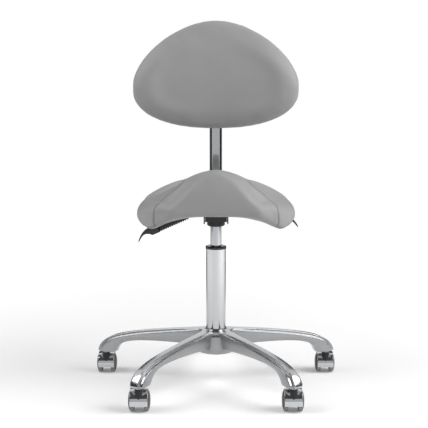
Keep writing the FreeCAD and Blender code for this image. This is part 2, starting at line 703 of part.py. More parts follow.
socket_top = s.socket_bottom_z + s.socket_length
head_top = socket_top + s.cylinder_head_rise
seal_low = s.cylinder_bottom_z + s.cylinder_lip
head_low = head_top - s.cylinder_head
valve_bore = s.valve_d / 2 + s.fit
inner_taper = s.cylinder_head_d / 2 - (s.cylinder_d - s.cylinder_bore) / 2
nodes.append(turned("gas_cylinder", [
    (s.cylinder_lip_bore / 2, s.cylinder_bottom_z), (s.cylinder_d / 2, s.cylinder_bottom_z),
    (s.cylinder_d / 2, s.socket_bottom_z), (s.cylinder_head_d / 2, head_top), (valve_bore, head_top),
    (valve_bore, head_low), (inner_taper, head_low), (s.cylinder_bore / 2, s.socket_bottom_z),
    (s.cylinder_bore / 2, seal_low), (s.cylinder_lip_bore / 2, seal_low),
]))
nodes.append(turned("rod_seal", [
    (s.rod_d / 2 + s.fit, seal_low), (s.cylinder_bore / 2 - s.fit, seal_low),
    (s.cylinder_bore / 2 - s.fit, seal_low + s.seal_length),
    (s.rod_d / 2 + s.fit, seal_low + s.seal_length),
]))
valve_top = head_top + s.valve_rise
nodes.append(rod("valve_pin", s.valve_d, (valve_top - s.valve_length, valve_top)))


# Mechanism: taper socket in a pressed tray, axles, bushes and lever pivots

taper_share = s.socket_length / (s.socket_length + s.cylinder_head_rise)
socket_top_radius = s.cylinder_d / 2 - (s.cylinder_d - s.cylinder_head_d) / 2 * taper_share + s.fit
nodes.append(turned("taper_socket", [
    (s.cylinder_d / 2 + s.fit, s.socket_bottom_z), (s.socket_d / 2 - s.socket_bevel, s.socket_bottom_z),
    (s.socket_d / 2, s.socket_bottom_z + s.socket_bevel), (s.socket_d / 2, s.housing_bottom_z),
    (s.socket_neck_d / 2, s.housing_bottom_z), (s.socket_neck_d / 2, socket_top),
    (socket_top_radius, socket_top),
]))

half = s.housing_width / 2
inside = half - s.housing_wall
floor_z = s.housing_bottom_z + s.housing_floor
tray = cut("tray", box("tray_block", (-half, half), (-s.housing_front, s.housing_rear),
                       (s.housing_bottom_z, s.housing_top_z)),
           [box("tray_inside", (-inside, inside), (-s.housing_front + s.housing_wall,
                                                   s.housing_rear + s.housing_wall),
                (floor_z, s.plate_z))])
stops = [box(f"seat_stop_{side}", limits(sign, inside, half), (s.stop_front, s.housing_rear),
             (floor_z, s.plate_z)) for side, sign in SIDES]
cheek_inner = s.bar_width / 2 + s.cheek_gap
cheek_outer = cheek_inner + s.cheek_wall
cheek_tip = s.lever_pivot_x - s.cheek_reach
lever_seats = (("height", -1, ZERO), ("tilt", 1, s.tilt_lever_y))
cheeks = []
windows = []
pivot_pins = []
pivot_bores = []
for lever, sign, y in lever_seats:
    x_span = limits(sign, cheek_tip, inside + s.housing_wall / 2)
    z_span = (s.housing_top_z - s.cheek_depth, s.housing_top_z)
    cheeks.append(box(f"{lever}_cheek_front", x_span, (y - cheek_outer, y - cheek_inner), z_span))
    cheeks.append(box(f"{lever}_cheek_rear", x_span, (y + cheek_inner, y + cheek_outer), z_span))
    wall_span = limits(sign, inside - s.fit, half + s.housing_wall)
    windows.append(box(f"{lever}_window", wall_span, (y - cheek_inner, y + cheek_inner),
                       (s.lever_pivot_z - s.window_drop, s.plate_z)))
    pin_span = (y - cheek_outer, y + cheek_outer)
    pivot_pins.append(rod(f"{lever}_pivot", s.lever_pivot_d, pin_span, x=sign * s.lever_pivot_x,
                          z=s.lever_pivot_z, along="Y"))
    pivot_bores.append(rod(f"{lever}_pivot_bore", s.lever_pivot_d + s.fit * 2, pin_span,
                           x=sign * s.lever_pivot_x,
                           z=s.lever_pivot_z, along="Y"))
lug_right = s.strap_x - s.lug_gap
lug = box("strap_lug", (lug_right - s.lug_depth, lug_right), (s.strap_front, s.strap_rear),
          (floor_z, s.lever_pivot_z))
across = (-s.housing_width, s.housing_width)
housing_bores = [
    rod("bush_bore", s.bush_d + s.fit * 2, across, y=-s.tilt_axle_y, z=s.tilt_axle_z, along="X"),
    rod("back_bore", s.back_axle_d + s.fit * 2, across, y=s.back_axle_y, z=s.back_axle_z, along="X"),
    rod("socket_bore", s.socket_neck_d + s.fit * 2, (s.socket_bottom_z, s.plate_z)),
]
nodes.append(cut("mechanism_housing", fuse("housing_blank", [tray, lug] + stops + cheeks),
                 windows + pivot_bores + housing_bores))
nodes.append(group("lever_pivots", pivot_pins))

tilt_half = half + s.ear_gap + s.ear_depth + s.axle_proud
nodes.append(rod("tilt_axle", s.tilt_axle_d, (-tilt_half, tilt_half), y=-s.tilt_axle_y, z=s.tilt_axle_z,
                 along="X"))
back_half = half + s.ear_gap + s.bracket_wall + s.axle_proud
nodes.append(rod("back_axle", s.back_axle_d, (-back_half, back_half), y=s.back_axle_y, z=s.back_axle_z,
                 along="X"))


def tilt_bush(side, sign):
    bore = s.tilt_axle_d / 2 + s.fit
    return place(turned(f"bush_{side}", [
        (sign * inside, bore), (sign * inside, s.bush_d / 2), (sign * half, s.bush_d / 2),
        (sign * half, s.bush_flange_d / 2), (sign * (half + s.bush_flange), s.bush_flange_d / 2),
        (sign * (half + s.bush_flange), bore),
    ], "H_Axis"), y=-s.tilt_axle_y, z=s.tilt_axle_z)


nodes.append(group("tilt_bushes", [tilt_bush("left", -1), tilt_bush("right", 1)]))


# Levers: a flat bar on its pivot, with a moulded grip that ends in a curved paddle

def lever_turn(sign, slope):
    """Turns a lever that lies along +X to its own side and slope."""
    to_side = FreeCAD.Rotation(Vector(0, 0, 1), 0 if sign > 0 else 180)
    return to_side * FreeCAD.Rotation(Vector(0, 1, 0), float(slope))


def lever(name, sign, y, slope, inside_end, extra):
    """The bar and the grip of one lever, at its pivot."""
    blank = box(f"{name}_bar_blank", (-inside_end, s.bar_end + extra), (-s.bar_width / 2, s.bar_width / 2),
                (-s.bar_depth / 2, s.bar_depth / 2))
    bar = cut(f"{name}_bar", blank, [rod(f"{name}_bar_bore", s.lever_pivot_d + s.fit * 2,
                                         (-s.bar_width, s.bar_width), along="Y")])

    body = doc.addObject("PartDesign::Body", f"{name}_grip_body")
    low = -s.shank_depth / 2
    high = s.shank_depth / 2
    start = s.grip_start + extra
    padded(body, f"{name}_shank", [(start, low), (s.block_end + extra, low), (s.block_end + extra, high),
                                   (start, high)],
           s.shank_width)
    tip = s.paddle_tip + extra
    padded(body, f"{name}_paddle", [
        (s.shank_end + extra, low),
        (s.block_end + extra, low, (s.paddle_mid + extra, s.paddle_mid_top - s.paddle_depth)),
        (tip, -s.paddle_tip_drop - s.paddle_tip_depth),
        (tip, -s.paddle_tip_drop, (s.paddle_mid + extra, s.paddle_mid_top)),
        (s.block_end + extra, s.paddle_top),
        (s.shank_end + extra, high),
    ], s.paddle_width)
    first_rib = s.shank_end + extra - s.rib_pitch * s.rib_count
    rib = padded(body, f"{name}_rib", [
        (first_rib, low - s.rib_rise), (first_rib + s.rib_width, low - s.rib_rise),
        (first_rib + s.rib_width, high + s.rib_rise), (first_rib, high + s.rib_rise),
    ], s.shank_width + s.rib_rise * 2)
    ribs = body.newObject("PartDesign::LinearPattern", f"{name}_ribs")
    ribs.Originals = [rib]
    ribs.Direction = (rib.Profile[0], ["H_Axis"])
    ribs.Mode = "Spacing"
    bind(ribs, {"Offset": s.rib_pitch, "Occurrences": s.rib_count})
    body.Tip = ribs
    bar_space = box(f"{name}_bar_space", (ZERO, s.bar_end + extra + s.fit),
                    (-s.bar_width / 2 - s.fit, s.bar_width / 2 + s.fit),
                    (-s.bar_depth / 2 - s.fit, s.bar_depth / 2 + s.fit))
    grip = cut(f"{name}_grip", body, [bar_space])

    turn = lever_turn(sign, slope)
    where = {"x": sign * s.lever_pivot_x, "y": y, "z": s.lever_pivot_z, "rotation": turn}
    return [copy(f"{name}_lever_rod", [bar], **where), copy(f"{name}_lever_grip", [grip], **where)]


nodes.extend(lever("height", -1, ZERO, s.height_slope, s.height_bar_inside, ZERO))
nodes.extend(lever("tilt", 1, s.tilt_lever_y, s.tilt_slope, s.tilt_bar_inside, s.tilt_lever_extra))


# Seat: plate with ears and lock strap, moulded shell, saddle cushion, bolts and inserts

plate_top = s.plate_z + s.plate_depth
ear_inner = half + s.ear_gap
ear_outer = ear_inner + s.ear_depth
seat_bolt_places = [(sign * s.bolt_x, y) for sign in (-1, 1) for y in (-s.bolt_front, s.bolt_rear)]
plate = box("plate", (-s.plate_width / 2, s.plate_width / 2), (-s.plate_front, s.plate_rear),
            (s.plate_z, plate_top))
ears = [box(f"ear_{side}", limits(sign, ear_inner, ear_outer),
            (-s.tilt_axle_y - s.ear_length / 2, -s.tilt_axle_y + s.ear_length / 2),
            (s.ear_bottom_z, plate_top))
        for side, sign in SIDES]
plate_bores = [rod("ear_bore", s.tilt_axle_d + s.fit * 2, across, y=-s.tilt_axle_y, z=s.tilt_axle_z,
                   along="X")]
for k, (x, y) in enumerate(seat_bolt_places):
    plate_bores.append(rod(f"plate_bolt_bore_{k}", s.bolt_d + s.fit * 2,
                           (s.plate_z - s.plate_depth, plate_top + s.plate_depth), x, y))
nodes.append(cut("seat_plate", fuse("plate_blank", [plate] + ears), plate_bores))
nodes.append(box("seat_lock_strap", (s.strap_x, s.strap_x + s.strap_depth), (s.strap_front, s.strap_rear),
                 (s.plate_z - s.strap_drop, s.plate_z)))

insert_top = plate_top + s.insert_length
bolts = []
inserts = []
insert_bores = []
for k, (x, y) in enumerate(seat_bolt_places):
    bolt = turned(f"seat_bolt_{k}", [
        (ZERO, s.plate_z - s.bolt_head), (s.bolt_head_d / 2, s.plate_z - s.bolt_head),
        (s.bolt_head_d / 2, s.plate_z),
        (s.bolt_d / 2, s.plate_z), (s.bolt_d / 2, insert_top - s.fit), (ZERO, insert_top - s.fit),
    ])
    bolts.append(place(bolt, x, y))
    insert = turned(f"insert_{k}", [
        (s.bolt_d / 2 + s.fit, plate_top), (s.insert_d / 2, plate_top), (s.insert_d / 2, insert_top),
        (s.bolt_d / 2 + s.fit, insert_top),
    ])
    inserts.append(place(insert, x, y))
    insert_bores.append(rod(f"insert_bore_{k}", s.insert_d + s.fit * 2, (s.plate_z, insert_top + s.fit), x,
                            y))
nodes.append(group("seat_bolts", bolts))
nodes.append(group("seat_inserts", inserts))

# Saddle sections from the pommel to the cantle. Each row: place along the seat, height of the crown, then
# (share of half width, share of height above the lobes) at the flank, shoulder, side, rim and underside,
# and the height of the middle below.
SADDLE_SECTIONS = (
    (0.000, 0.63, (0.21, 0.59), (0.41, 0.45), (0.48, 0.34), (0.43, 0.27), (0.21, 0.26), 0.26),
    (0.052, 0.90, (0.25, 0.79), (0.53, 0.46), (0.66, 0.26), (0.61, 0.175), (0.34, 0.245), 0.26),
    (0.165, 1.00, (0.28, 0.90), (0.66, 0.47), (0.84, 0.19), (0.76, 0.01), (0.44, 0.19), 0.27),
    (0.310, 0.88, (0.375, 0.785), (0.805, 0.45), (0.955, 0.19), (0.84, 0.00), (0.49, 0.20), 0.31),
    (0.480, 0.72, (0.43, 0.67), (0.845, 0.486), (0.968, 0.306), (0.95, 0.06), (0.50, 0.26), 0.36),
    (0.680, 0.73, (0.44, 0.682), (0.85, 0.472), (0.945, 0.33), (0.93, 0.14), (0.50, 0.30), 0.38),
    (0.850, 0.745, (0.43, 0.698), (0.816, 0.476), (0.887, 0.357), (0.87, 0.205), (0.44, 0.31), 0.38),
    (0.955, 0.69, (0.34, 0.65), (0.66, 0.488), (0.72, 0.393), (0.70, 0.27), (0.33, 0.32), 0.34),
    (1.000, 0.54, (0.22, 0.52), (0.38, 0.44), (0.43, 0.39), (0.39, 0.35), (0.20, 0.36), 0.365),
)


def mirrored_wire(y, top, right, bottom):
    """A closed wire of arcs, from the crown down the right side and up the left in mirror image."""
    corners = [Vector(0, y, top)] + [Vector(x, y, z) for x, z in right] + [Vector(0, y, bottom)]
    left = [Vector(-point.x, point.y, point.z) for point in reversed(corners[1:-1])]
    loop = corners + left
    return arc_wire([(loop[k], loop[k + 1]) for k in range(0, len(loop), 2)])


def saddle():
    half_width = float(s.seat_width) / 2
    base = float(s.lobe_z)
    height = float(s.pommel_z) - base
    length = float(s.seat_front) + float(s.seat_rear)
    wires = []
    for along, crown, flank, shoulder, side, rim, under, middle in SADDLE_SECTIONS:
        right = [(x * half_width, base + z * height) for x, z in (flank, shoulder, side, rim, under)]
        y = along * length - float(s.seat_front)
        wires.append(mirrored_wire(y, base + crown * height, right, base + middle * height))
    return Part.makeLoft(wires, True, False)


# Shell sections: place along the shell, share of its width, share of its droop, drop of its middle
SHELL_SECTIONS = (
    (0.00, 0.74, 0.75, 4.0),
    (0.22, 0.95, 1.00, 0.0),
    (0.44, 1.00, 1.00, 0.0),
    (0.70, 0.98, 0.90, 0.0),
    (1.00, 0.72, 0.60, 2.0),
)
BEND_PLACE = 0.55
BEND_DROOP = 0.2


def shell_form(grow, depth, drop):
    """The shell's loft, grown sideways and upwards by a clearance, its underside let down by a drop."""
    start = -float(s.shell_front) - grow
    length = float(s.shell_front) + float(s.shell_rear) + grow * 2
    flat = float(plate_top) - float(s.shell_seat)
    wires = []
    for along, wide, droop, sink in SHELL_SECTIONS:
        edge = float(s.shell_width) / 2 * wide + grow
        fall = float(s.shell_droop) * droop
        y = start + along * length
        low = flat - sink - drop
        top = flat - sink + depth + grow
        bend = edge * BEND_PLACE
        bend_top = top - fall * BEND_DROOP
        bend_low = low - fall * BEND_DROOP
        wires.append(arc_wire([
            (Vector(0, y, top), Vector(bend, y, bend_top)),
            (Vector(edge, y, top - fall),),
            (Vector(edge, y, low - fall), Vector(bend, y, bend_low)),
            (Vector(0, y, low), Vector(-bend, y, bend_low)),
            (Vector(-edge, y, low - fall),),
            (Vector(-edge, y, top - fall), Vector(-bend, y, bend_top)),
        ]))
    return Part.makeLoft(wires, True, False)


shell_blank = solid("shell_blank", shell_form(0.0, float(s.shell_depth), 0.0))
plate_space = box("plate_space", (-s.plate_width / 2 - s.ear_gap, s.plate_width / 2 + s.ear_gap),
                  (-s.plate_front - s.ear_gap, s.plate_rear + s.ear_gap),
                  (s.plate_z - s.plate_depth, plate_top))
nodes.append(cut("seat_shell", shell_blank, [plate_space] + insert_bores))
saddle_blank = solid("saddle_blank", saddle())
seat_height = float(s.pommel_z) - float(s.lobe_z)
shell_space = solid("shell_space", shell_form(float(s.soft_gap), float(s.shell_depth), seat_height))
nodes.append(cut("seat_cushion", saddle_blank, [shell_space]))


# Back: bracket on the back axle, bent flat-oval post with its cap, bolts

bracket_half = half + s.ear_gap + s.bracket_wall
run_top = s.post_run_z + s.post_depth / 2
run_low = s.post_run_z - s.post_depth / 2
bracket_plate = box("bracket_plate", (-bracket_half, bracket_half), (s.post_run_start, s.bracket_rear),
                    (run_top, run_top + s.bracket_wall))
bracket_ears = [box(f"bracket_ear_{side}", limits(sign, bracket_half - s.bracket_wall, bracket_half),
                    (s.bracket_front, s.bracket_rear), (run_top, s.bracket_top_z)) for side, sign in SIDES]
back_bolt_ys = (s.back_bolt_first, s.back_bolt_first + s.back_bolt_pitch)
bolt_span = (run_low - s.back_bolt_head * 2, run_top + s.bracket_wall * 2)
back_bores = [rod(f"back_bolt_bore_{k}", s.back_bolt_d + s.fit * 2, bolt_span, y=y) for k,
              y in enumerate(back_bolt_ys)]
back_bores.append(rod("bracket_axle_bore", s.back_axle_d + s.fit * 2, across, y=s.back_axle_y,
                      z=s.back_axle_z, along="X"))
nodes.append(cut("back_bracket", fuse("bracket_blank", [bracket_plate] + bracket_ears), back_bores))

post_body = doc.addObject("PartDesign::Body", "post_body")


def flat_oval(sketch, width, depth, middle_x, middle_y):
    straight = (width - depth) / 2
    return outline(sketch, [
        (middle_x - straight, middle_y - depth / 2),
        (middle_x + straight, middle_y - depth / 2, (middle_x + width / 2, middle_y)),
        (middle_x + straight, middle_y + depth / 2),
        (middle_x - straight, middle_y + depth / 2, (middle_x - width / 2, middle_y)),
    ])


section = sketch_on(post_body, "XZ_Plane", "post_section", offset=-s.post_run_start)
flat_oval(section, s.post_width, s.post_depth, ZERO, s.post_run_z)
flat_oval(section, s.post_width - s.post_wall * 2, s.post_depth - s.post_wall * 2, ZERO, s.post_run_z)
path = sketch_on(post_body, "YZ_Plane", "post_path")
bend_start = s.post_y - s.post_bend
bend_side = s.post_bend * math.sin(math.radians(45))
outline(path, [
    (s.post_run_start, s.post_run_z),
    (bend_start, s.post_run_z, (bend_start + bend_side, s.post_run_z + s.post_bend - bend_side)),
    (s.post_y, s.post_run_z + s.post_bend),
    (s.post_y, s.post_top_z),
], closed=False)
post_pipe = post_body.newObject("PartDesign::AdditivePipe", "post_pipe")
post_pipe.Profile = section
post_pipe.Spine = (path, ["Edge1", "Edge2", "Edge3"])
post_bores = [rod(f"post_bolt_bore_{k}", s.back_bolt_d + s.fit * 2, bolt_span, y=y) for k,
              y in enumerate(back_bolt_ys)]
nodes.append(cut("back_post", post_body, post_bores))

cap_body = doc.addObject("PartDesign::Body", "post_cap")
cap_sketch = flat_oval(sketch_on(cap_body, "XY_Plane", "cap_outline", offset=s.post_top_z), s.post_width,
                       s.post_depth, ZERO, s.post_y)
cap_pad = cap_body.newObject("PartDesign::Pad", "cap_pad")
cap_pad.Profile = cap_sketch
bind(cap_pad, {"Length": s.cap_depth})
plug_shrink = s.post_wall * 2 + s.fit * 2
plug_sketch = flat_oval(sketch_on(cap_body, "XY_Plane", "plug_outline", offset=s.post_top_z - s.cap_plug),
                        s.post_width - plug_shrink, s.post_depth - plug_shrink, ZERO, s.post_y)
plug_pad = cap_body.newObject("PartDesign::Pad", "plug_pad")
plug_pad.Profile = plug_sketch
bind(plug_pad, {"Length": s.cap_plug})
nodes.append(cap_body)

bolt_parts = []
for k, y in enumerate(back_bolt_ys):
    head_low_z = run_top + s.bracket_wall
    bolt = turned(f"back_bolt_{k}", [
        (ZERO, run_low - s.back_bolt_head), (s.back_bolt_d / 2, run_low - s.back_bolt_head),
        (s.back_bolt_d / 2, head_low_z),
        (s.back_bolt_head_d / 2, head_low_z), (s.back_bolt_head_d / 2, head_low_z + s.back_bolt_head),
        (ZERO, head_low_z + s.back_bolt_head),
    ])
    nut = turned(f"back_nut_{k}", [
        (s.back_bolt_d / 2 + s.fit, run_low - s.back_bolt_head),
        (s.back_bolt_head_d / 2, run_low - s.back_bolt_head),
        (s.back_bolt_head_d / 2, run_low), (s.back_bolt_d / 2 + s.fit, run_low),
    ])
    bolt_parts.extend([place(bolt, y=y), place(nut, y=y)])
nodes.append(group("back_bolts", bolt_parts))


# Backrest: carriage on the post with its clamp knob, moulded board, crowned pad, screws

def pad_edge(share, reach, power):
    """Height of the pad's outline at a share of its half width."""
    return float(reach) * (1 - share ** power) ** (1 / power)


PAD_STATIONS = (-0.985, -0.90, -0.74, -0.52, -0.27, 0.0, 0.27, 0.52, 0.74, 0.90, 0.985)
UPPER_ROUNDNESS = 1.73
LOWER_ROUNDNESS = 2.25


def pad_middle(share):
    """Depth of the pad's middle surface: its sides come forward."""
    return float(s.pad_y) - float(s.pad_wrap) * share ** 2


def backrest_pad():
    wires = []
    for station in PAD_STATIONS:
        share = abs(station)
        x = station * float(s.pad_width) / 2
        top = float(s.pad_z) + pad_edge(share, s.pad_rise, UPPER_ROUNDNESS)
        low = float(s.pad_z) - pad_edge(share, s.pad_drop, LOWER_ROUNDNESS)
        middle = (top + low) / 2
        edge = min(float(s.pad_edge), (top - low) / 4)
        swell = (1 - share ** 2) ** 0.5
        y = pad_middle(share)
        front = y - edge - (float(s.pad_front) - edge) * swell
        back = y + float(s.pad_back)
        wires.append(arc_wire([
            (Vector(x, y - edge, low + edge), Vector(x, front, middle)),
            (Vector(x, y - edge, top - edge), Vector(x, y, top)),
            (Vector(x, back, top - edge),),
            (Vector(x, back, low + edge), Vector(x, y, low)),
        ]))
    return Part.makeLoft(wires, True, False)


nodes.append(solid("backrest_cushion", backrest_pad()))

board_front = s.pad_y + s.pad_back + s.board_gap
board_back = board_front + s.board_depth


BOARD_TAPER = 0.3


def backrest_board():
    wires = []
    for station in (-1.0, -0.5, 0.0, 0.5, 1.0):
        x = station * float(s.board_width) / 2
        share = abs(x) / (float(s.pad_width) / 2)
        front = pad_middle(share) + float(s.pad_back) + float(s.board_gap)
        reach = float(s.board_height) / 2 * (1 - BOARD_TAPER * share ** 2)
        low, top = float(s.carriage_z) - reach, float(s.carriage_z) + reach
        back = front + float(s.board_depth)
        wires.append(arc_wire([(Vector(x, front, low),), (Vector(x, front, top),), (Vector(x, back, top),),
                               (Vector(x, back, low),)]))
    return Part.makeLoft(wires, True, False)


carriage_back = s.post_y + s.carriage_back
carriage_low = s.carriage_z - s.carriage_height / 2
carriage_top = s.carriage_z + s.carriage_height / 2
screw_places = [(sign * s.screw_x, s.carriage_z + lift * s.screw_pitch / 2) for sign in (-1,
                                                                                         1) for lift in (-1,
                                                                                                         1)]
screw_tip = board_back - s.screw_bite
board_bores = [rod(f"board_screw_bore_{k}", s.screw_d + s.fit * 2, (screw_tip - s.fit, carriage_back), x,
                   z=z, along="Y")
               for k, (x, z) in enumerate(screw_places)]
board_seat = box("board_seat", (-s.carriage_width / 2, s.carriage_width / 2), (board_back, carriage_back),
                 (carriage_low, carriage_top))
nodes.append(cut("backrest_board", solid("board_blank", backrest_board()), [board_seat] + board_bores))

slot_body = doc.addObject("PartDesign::Body", "post_slot")
slot_sketch = flat_oval(sketch_on(slot_body, "XY_Plane", "slot_outline",
                                  offset=carriage_low - s.carriage_height),
                        s.post_width + s.slide_gap * 2, s.post_depth + s.slide_gap * 2, ZERO, s.post_y)
slot_pad = slot_body.newObject("PartDesign::Pad", "slot_pad")
slot_pad.Profile = slot_sketch
bind(slot_pad, {"Length": s.carriage_height * 3})
carriage_block = box("carriage_block", (-s.carriage_width / 2, s.carriage_width / 2),
                     (board_back, carriage_back), (carriage_low, carriage_top))
carriage_bores = [rod(f"carriage_screw_bore_{k}", s.screw_d + s.fit * 2,
                      (board_front, carriage_back + s.screw_head), x, z=z, along="Y")
                  for k, (x, z) in enumerate(screw_places)]
stud_tip = s.post_y + s.post_depth / 2 + s.slide_gap
carriage_bores.append(rod("stud_bore", s.stud_d + s.fit * 2, (s.post_y, carriage_back + s.screw_head),
                          z=s.carriage_z, along="Y"))
nodes.append(cut("backrest_carriage", carriage_block, [slot_body] + carriage_bores))

screws = []
for k, (x, z) in enumerate(screw_places):
    shank = rod(f"screw_shank_{k}", s.screw_d, (screw_tip, carriage_back + s.screw_head), x, z=z, along="Y")
    head = rod(f"screw_head_{k}", s.screw_head_d, (carriage_back, carriage_back + s.screw_head), x, z=z,
               along="Y")
    screws.append(fuse(f"screw_{k}", [shank, head]))
nodes.append(group("backrest_screws", screws))

knob_low = carriage_back + s.knob_gap
knob_high = knob_low + s.knob_depth
turn_down = FreeCAD.Rotation(Vector(1, 0, 0), -90)
knob_head = turned("knob_head", [
    (ZERO, knob_low + s.stud_bite + s.fit), (s.stud_d / 2 + s.fit, knob_low + s.stud_bite + s.fit),
    (s.stud_d / 2 + s.fit, knob_low),
    (s.knob_d / 2, knob_low), (s.knob_d / 2, knob_high - s.knob_round),
    (s.knob_d / 2 - s.knob_round, knob_high), (ZERO, knob_high),
])
knob_stud = turned("knob_stud", [(ZERO, stud_tip), (s.stud_d / 2, stud_tip),
                                 (s.stud_d / 2, knob_low + s.stud_bite), (ZERO, knob_low + s.stud_bite)])
nodes.append(copy("clamp_knob", [knob_head, knob_stud], z=s.carriage_z, rotation=turn_down))


# Every object must have come out whole before anything is written

doc.recompute()
for item in doc.Objects:
    if "Invalid" in item.State or "Error" in item.State:
        raise RuntimeError(f"{item.Label} did not rebuild: {item.State}")
for node in nodes:
    if node.Shape.isNull() or not node.Shape.isValid() or not node.Shape.Solids:
        raise RuntimeError(f"{node.Label} has no valid solid")

os.makedirs("parts", exist_ok=True)
for node in nodes:
    node.Shape.exportStep(f"parts/{node.Label}.step")
print(len(nodes), "nodes,", sum(len(node.Shape.Solids) for node in nodes), "solids")
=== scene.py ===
import math

import bmesh
import bpy
import numpy as np
from mathutils import Matrix, Vector


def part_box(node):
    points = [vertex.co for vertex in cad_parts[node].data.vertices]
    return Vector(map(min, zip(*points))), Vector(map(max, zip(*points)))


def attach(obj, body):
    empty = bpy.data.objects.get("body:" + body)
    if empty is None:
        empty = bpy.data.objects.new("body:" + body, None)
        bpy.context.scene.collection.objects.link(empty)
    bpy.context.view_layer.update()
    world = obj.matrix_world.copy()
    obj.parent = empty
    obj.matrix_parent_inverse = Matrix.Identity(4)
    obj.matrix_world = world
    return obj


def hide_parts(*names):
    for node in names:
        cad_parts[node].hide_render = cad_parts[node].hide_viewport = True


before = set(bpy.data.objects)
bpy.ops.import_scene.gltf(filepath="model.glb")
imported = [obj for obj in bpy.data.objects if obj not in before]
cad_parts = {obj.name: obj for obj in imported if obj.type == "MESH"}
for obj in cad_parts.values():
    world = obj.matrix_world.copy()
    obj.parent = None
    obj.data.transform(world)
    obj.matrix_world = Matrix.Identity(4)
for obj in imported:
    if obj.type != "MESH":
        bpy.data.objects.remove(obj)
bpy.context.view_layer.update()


# BASE STAR
# Five-arm base, cast in aluminium and polished, with the hub bored for the column's foot.
# Each arm has a raised strip along its back and turns down at its end to take a caster stem.

def deselect():
    """Leaves nothing selected, so that an operator acts on one piece alone."""
    if bpy.context.object and bpy.context.object.mode != "OBJECT":
        bpy.ops.object.mode_set(mode="OBJECT")
    bpy.ops.object.select_all(action="DESELECT")


def apply_all(piece):
    """Applies each modifier of a piece in its order."""
    deselect()
    piece.select_set(True)
    bpy.context.view_layer.objects.active = piece
    for modifier in list(piece.modifiers):
        bpy.ops.object.modifier_apply(modifier=modifier.name)


def subdivide(piece, levels):
    """Rounds a piece off by subdividing its surface."""
    rounding = piece.modifiers.new("rounding", "SUBSURF")
    rounding.levels = levels
    rounding.render_levels = levels
    apply_all(piece)


def bevel(piece, width, segments):
    """Rounds the sharp edges of a piece and shades the rest smooth."""
    edge = piece.modifiers.new("edge", "BEVEL")
    edge.width = width
    edge.segments = segments
    edge.limit_method = "ANGLE"
    edge.angle_limit = math.radians(35)
    apply_all(piece)
    bpy.ops.object.shade_smooth_by_angle(angle=math.radians(38))


def unite(piece, other):
    """Joins another object into a piece."""
    deselect()
    other.select_set(True)
    piece.select_set(True)
    bpy.context.view_layer.objects.active = piece
    bpy.ops.object.join()


def draw_out(cage, loop, places):
    """Extrudes a closed loop of points through further loops of places, and returns the last."""
    for row in places:
        drawn = bmesh.ops.extrude_edge_only(cage, edges=[
            cage.edges.get(pair) for pair in zip(loop, loop[1:] + loop[:1])])["geom"]
        fresh = {item for item in drawn if isinstance(item, bmesh.types.BMVert)}
        loop = [next(edge.other_vert(vert) for edge in vert.link_edges if edge.other_vert(vert) in fresh)
                for vert in loop]
        for vert, place in zip(loop, row):
            vert.co = place
    return loop


# Sections of one arm from hub to caster, in millimetres: radius and height of its back, radius and height
# of its underside, half width at the ledge, half width of the strip, drop from strip to ledge, half width below.
ARM_SECTIONS = (
    (38, 144, 38, 97, 17.5, 16.0, 1.5, 12.5),
    (48, 143.4, 48, 98, 16.8, 14.0, 2.6, 12.0),
    (66, 142, 66, 98.8, 15.9, 11.6, 4.6, 11.2),
    (100, 139, 100, 100, 15.2, 10.2, 6.0, 10.4),
    (150, 133.2, 150, 100.5, 14.8, 9.6, 6.6, 10.0),
    (200, 126.4, 198, 99, 15.0, 9.8, 7.0, 10.0),
    (240, 119.4, 231, 95.5, 15.8, 10.2, 7.4, 10.5),
    (268, 112.2, 250, 91, 17.0, 10.8, 7.8, 11.5),
    (292, 103.5, 260, 86, 18.2, 11.4, 8.0, 12.5),
    (311, 92.5, 268, 79.5, 19.2, 11.8, 8.2, 13.0),
    (322, 79.5, 273, 71.5, 20.0, 12.0, 8.4, 13.0),
    (327, 67.5, 276, 64, 20.4, 12.0, 8.4, 12.6),
    (327.8, 60.6, 277, 60.6, 20.4, 12.0, 8.4, 12.4))


def arm_loop(section):
    """The points round one section of the arm, from the middle of its back down one side and up the other."""
    out, top, under_out, under, half, strip, drop, low = (value * 0.001 for value in section)
    back, belly = Vector((out, 0, top)), Vector((under_out, 0, under))
    deep = (belly - back).length
    side = ((strip - 0.0013, 0.0003), (strip, 0.0013), (strip + 0.0002, max(drop - 0.0009, 0.0022)),
            (min(strip + 0.0009, half - 0.0014), drop + 0.0002), (half - 0.0011, drop + 0.0006),
            (half, drop + 0.0018), (half - 0.0004, (drop + deep) / 2), (low, deep - 0.0016),
            (low - 0.0018, deep))
    down = (belly - back) / deep
    loop = [back + Vector((0, wide, 0)) + down * fall for wide, fall in ((0.0, 0.0),) + side]
    loop.append(belly)
    loop += [back + Vector((0, -wide, 0)) + down * fall for wide, fall in reversed(side)]
    return loop


deselect()
bpy.ops.mesh.primitive_circle_add(vertices=20, radius=0.02, location=(0, 0, 0))
star = bpy.context.object
star.name = "base_star_casting"
bpy.ops.object.mode_set(mode="EDIT")
cage = bmesh.from_edit_mesh(star.data)
cage.verts.ensure_lookup_table()
root = list(cage.verts)
for vert, place in zip(root, arm_loop(ARM_SECTIONS[0])):
    vert.co = place
loop = draw_out(cage, root, [arm_loop(section) for section in ARM_SECTIONS[1:]])
foot = cage.faces.new(loop)
bmesh.ops.inset_region(cage, faces=[foot], thickness=0.0015)

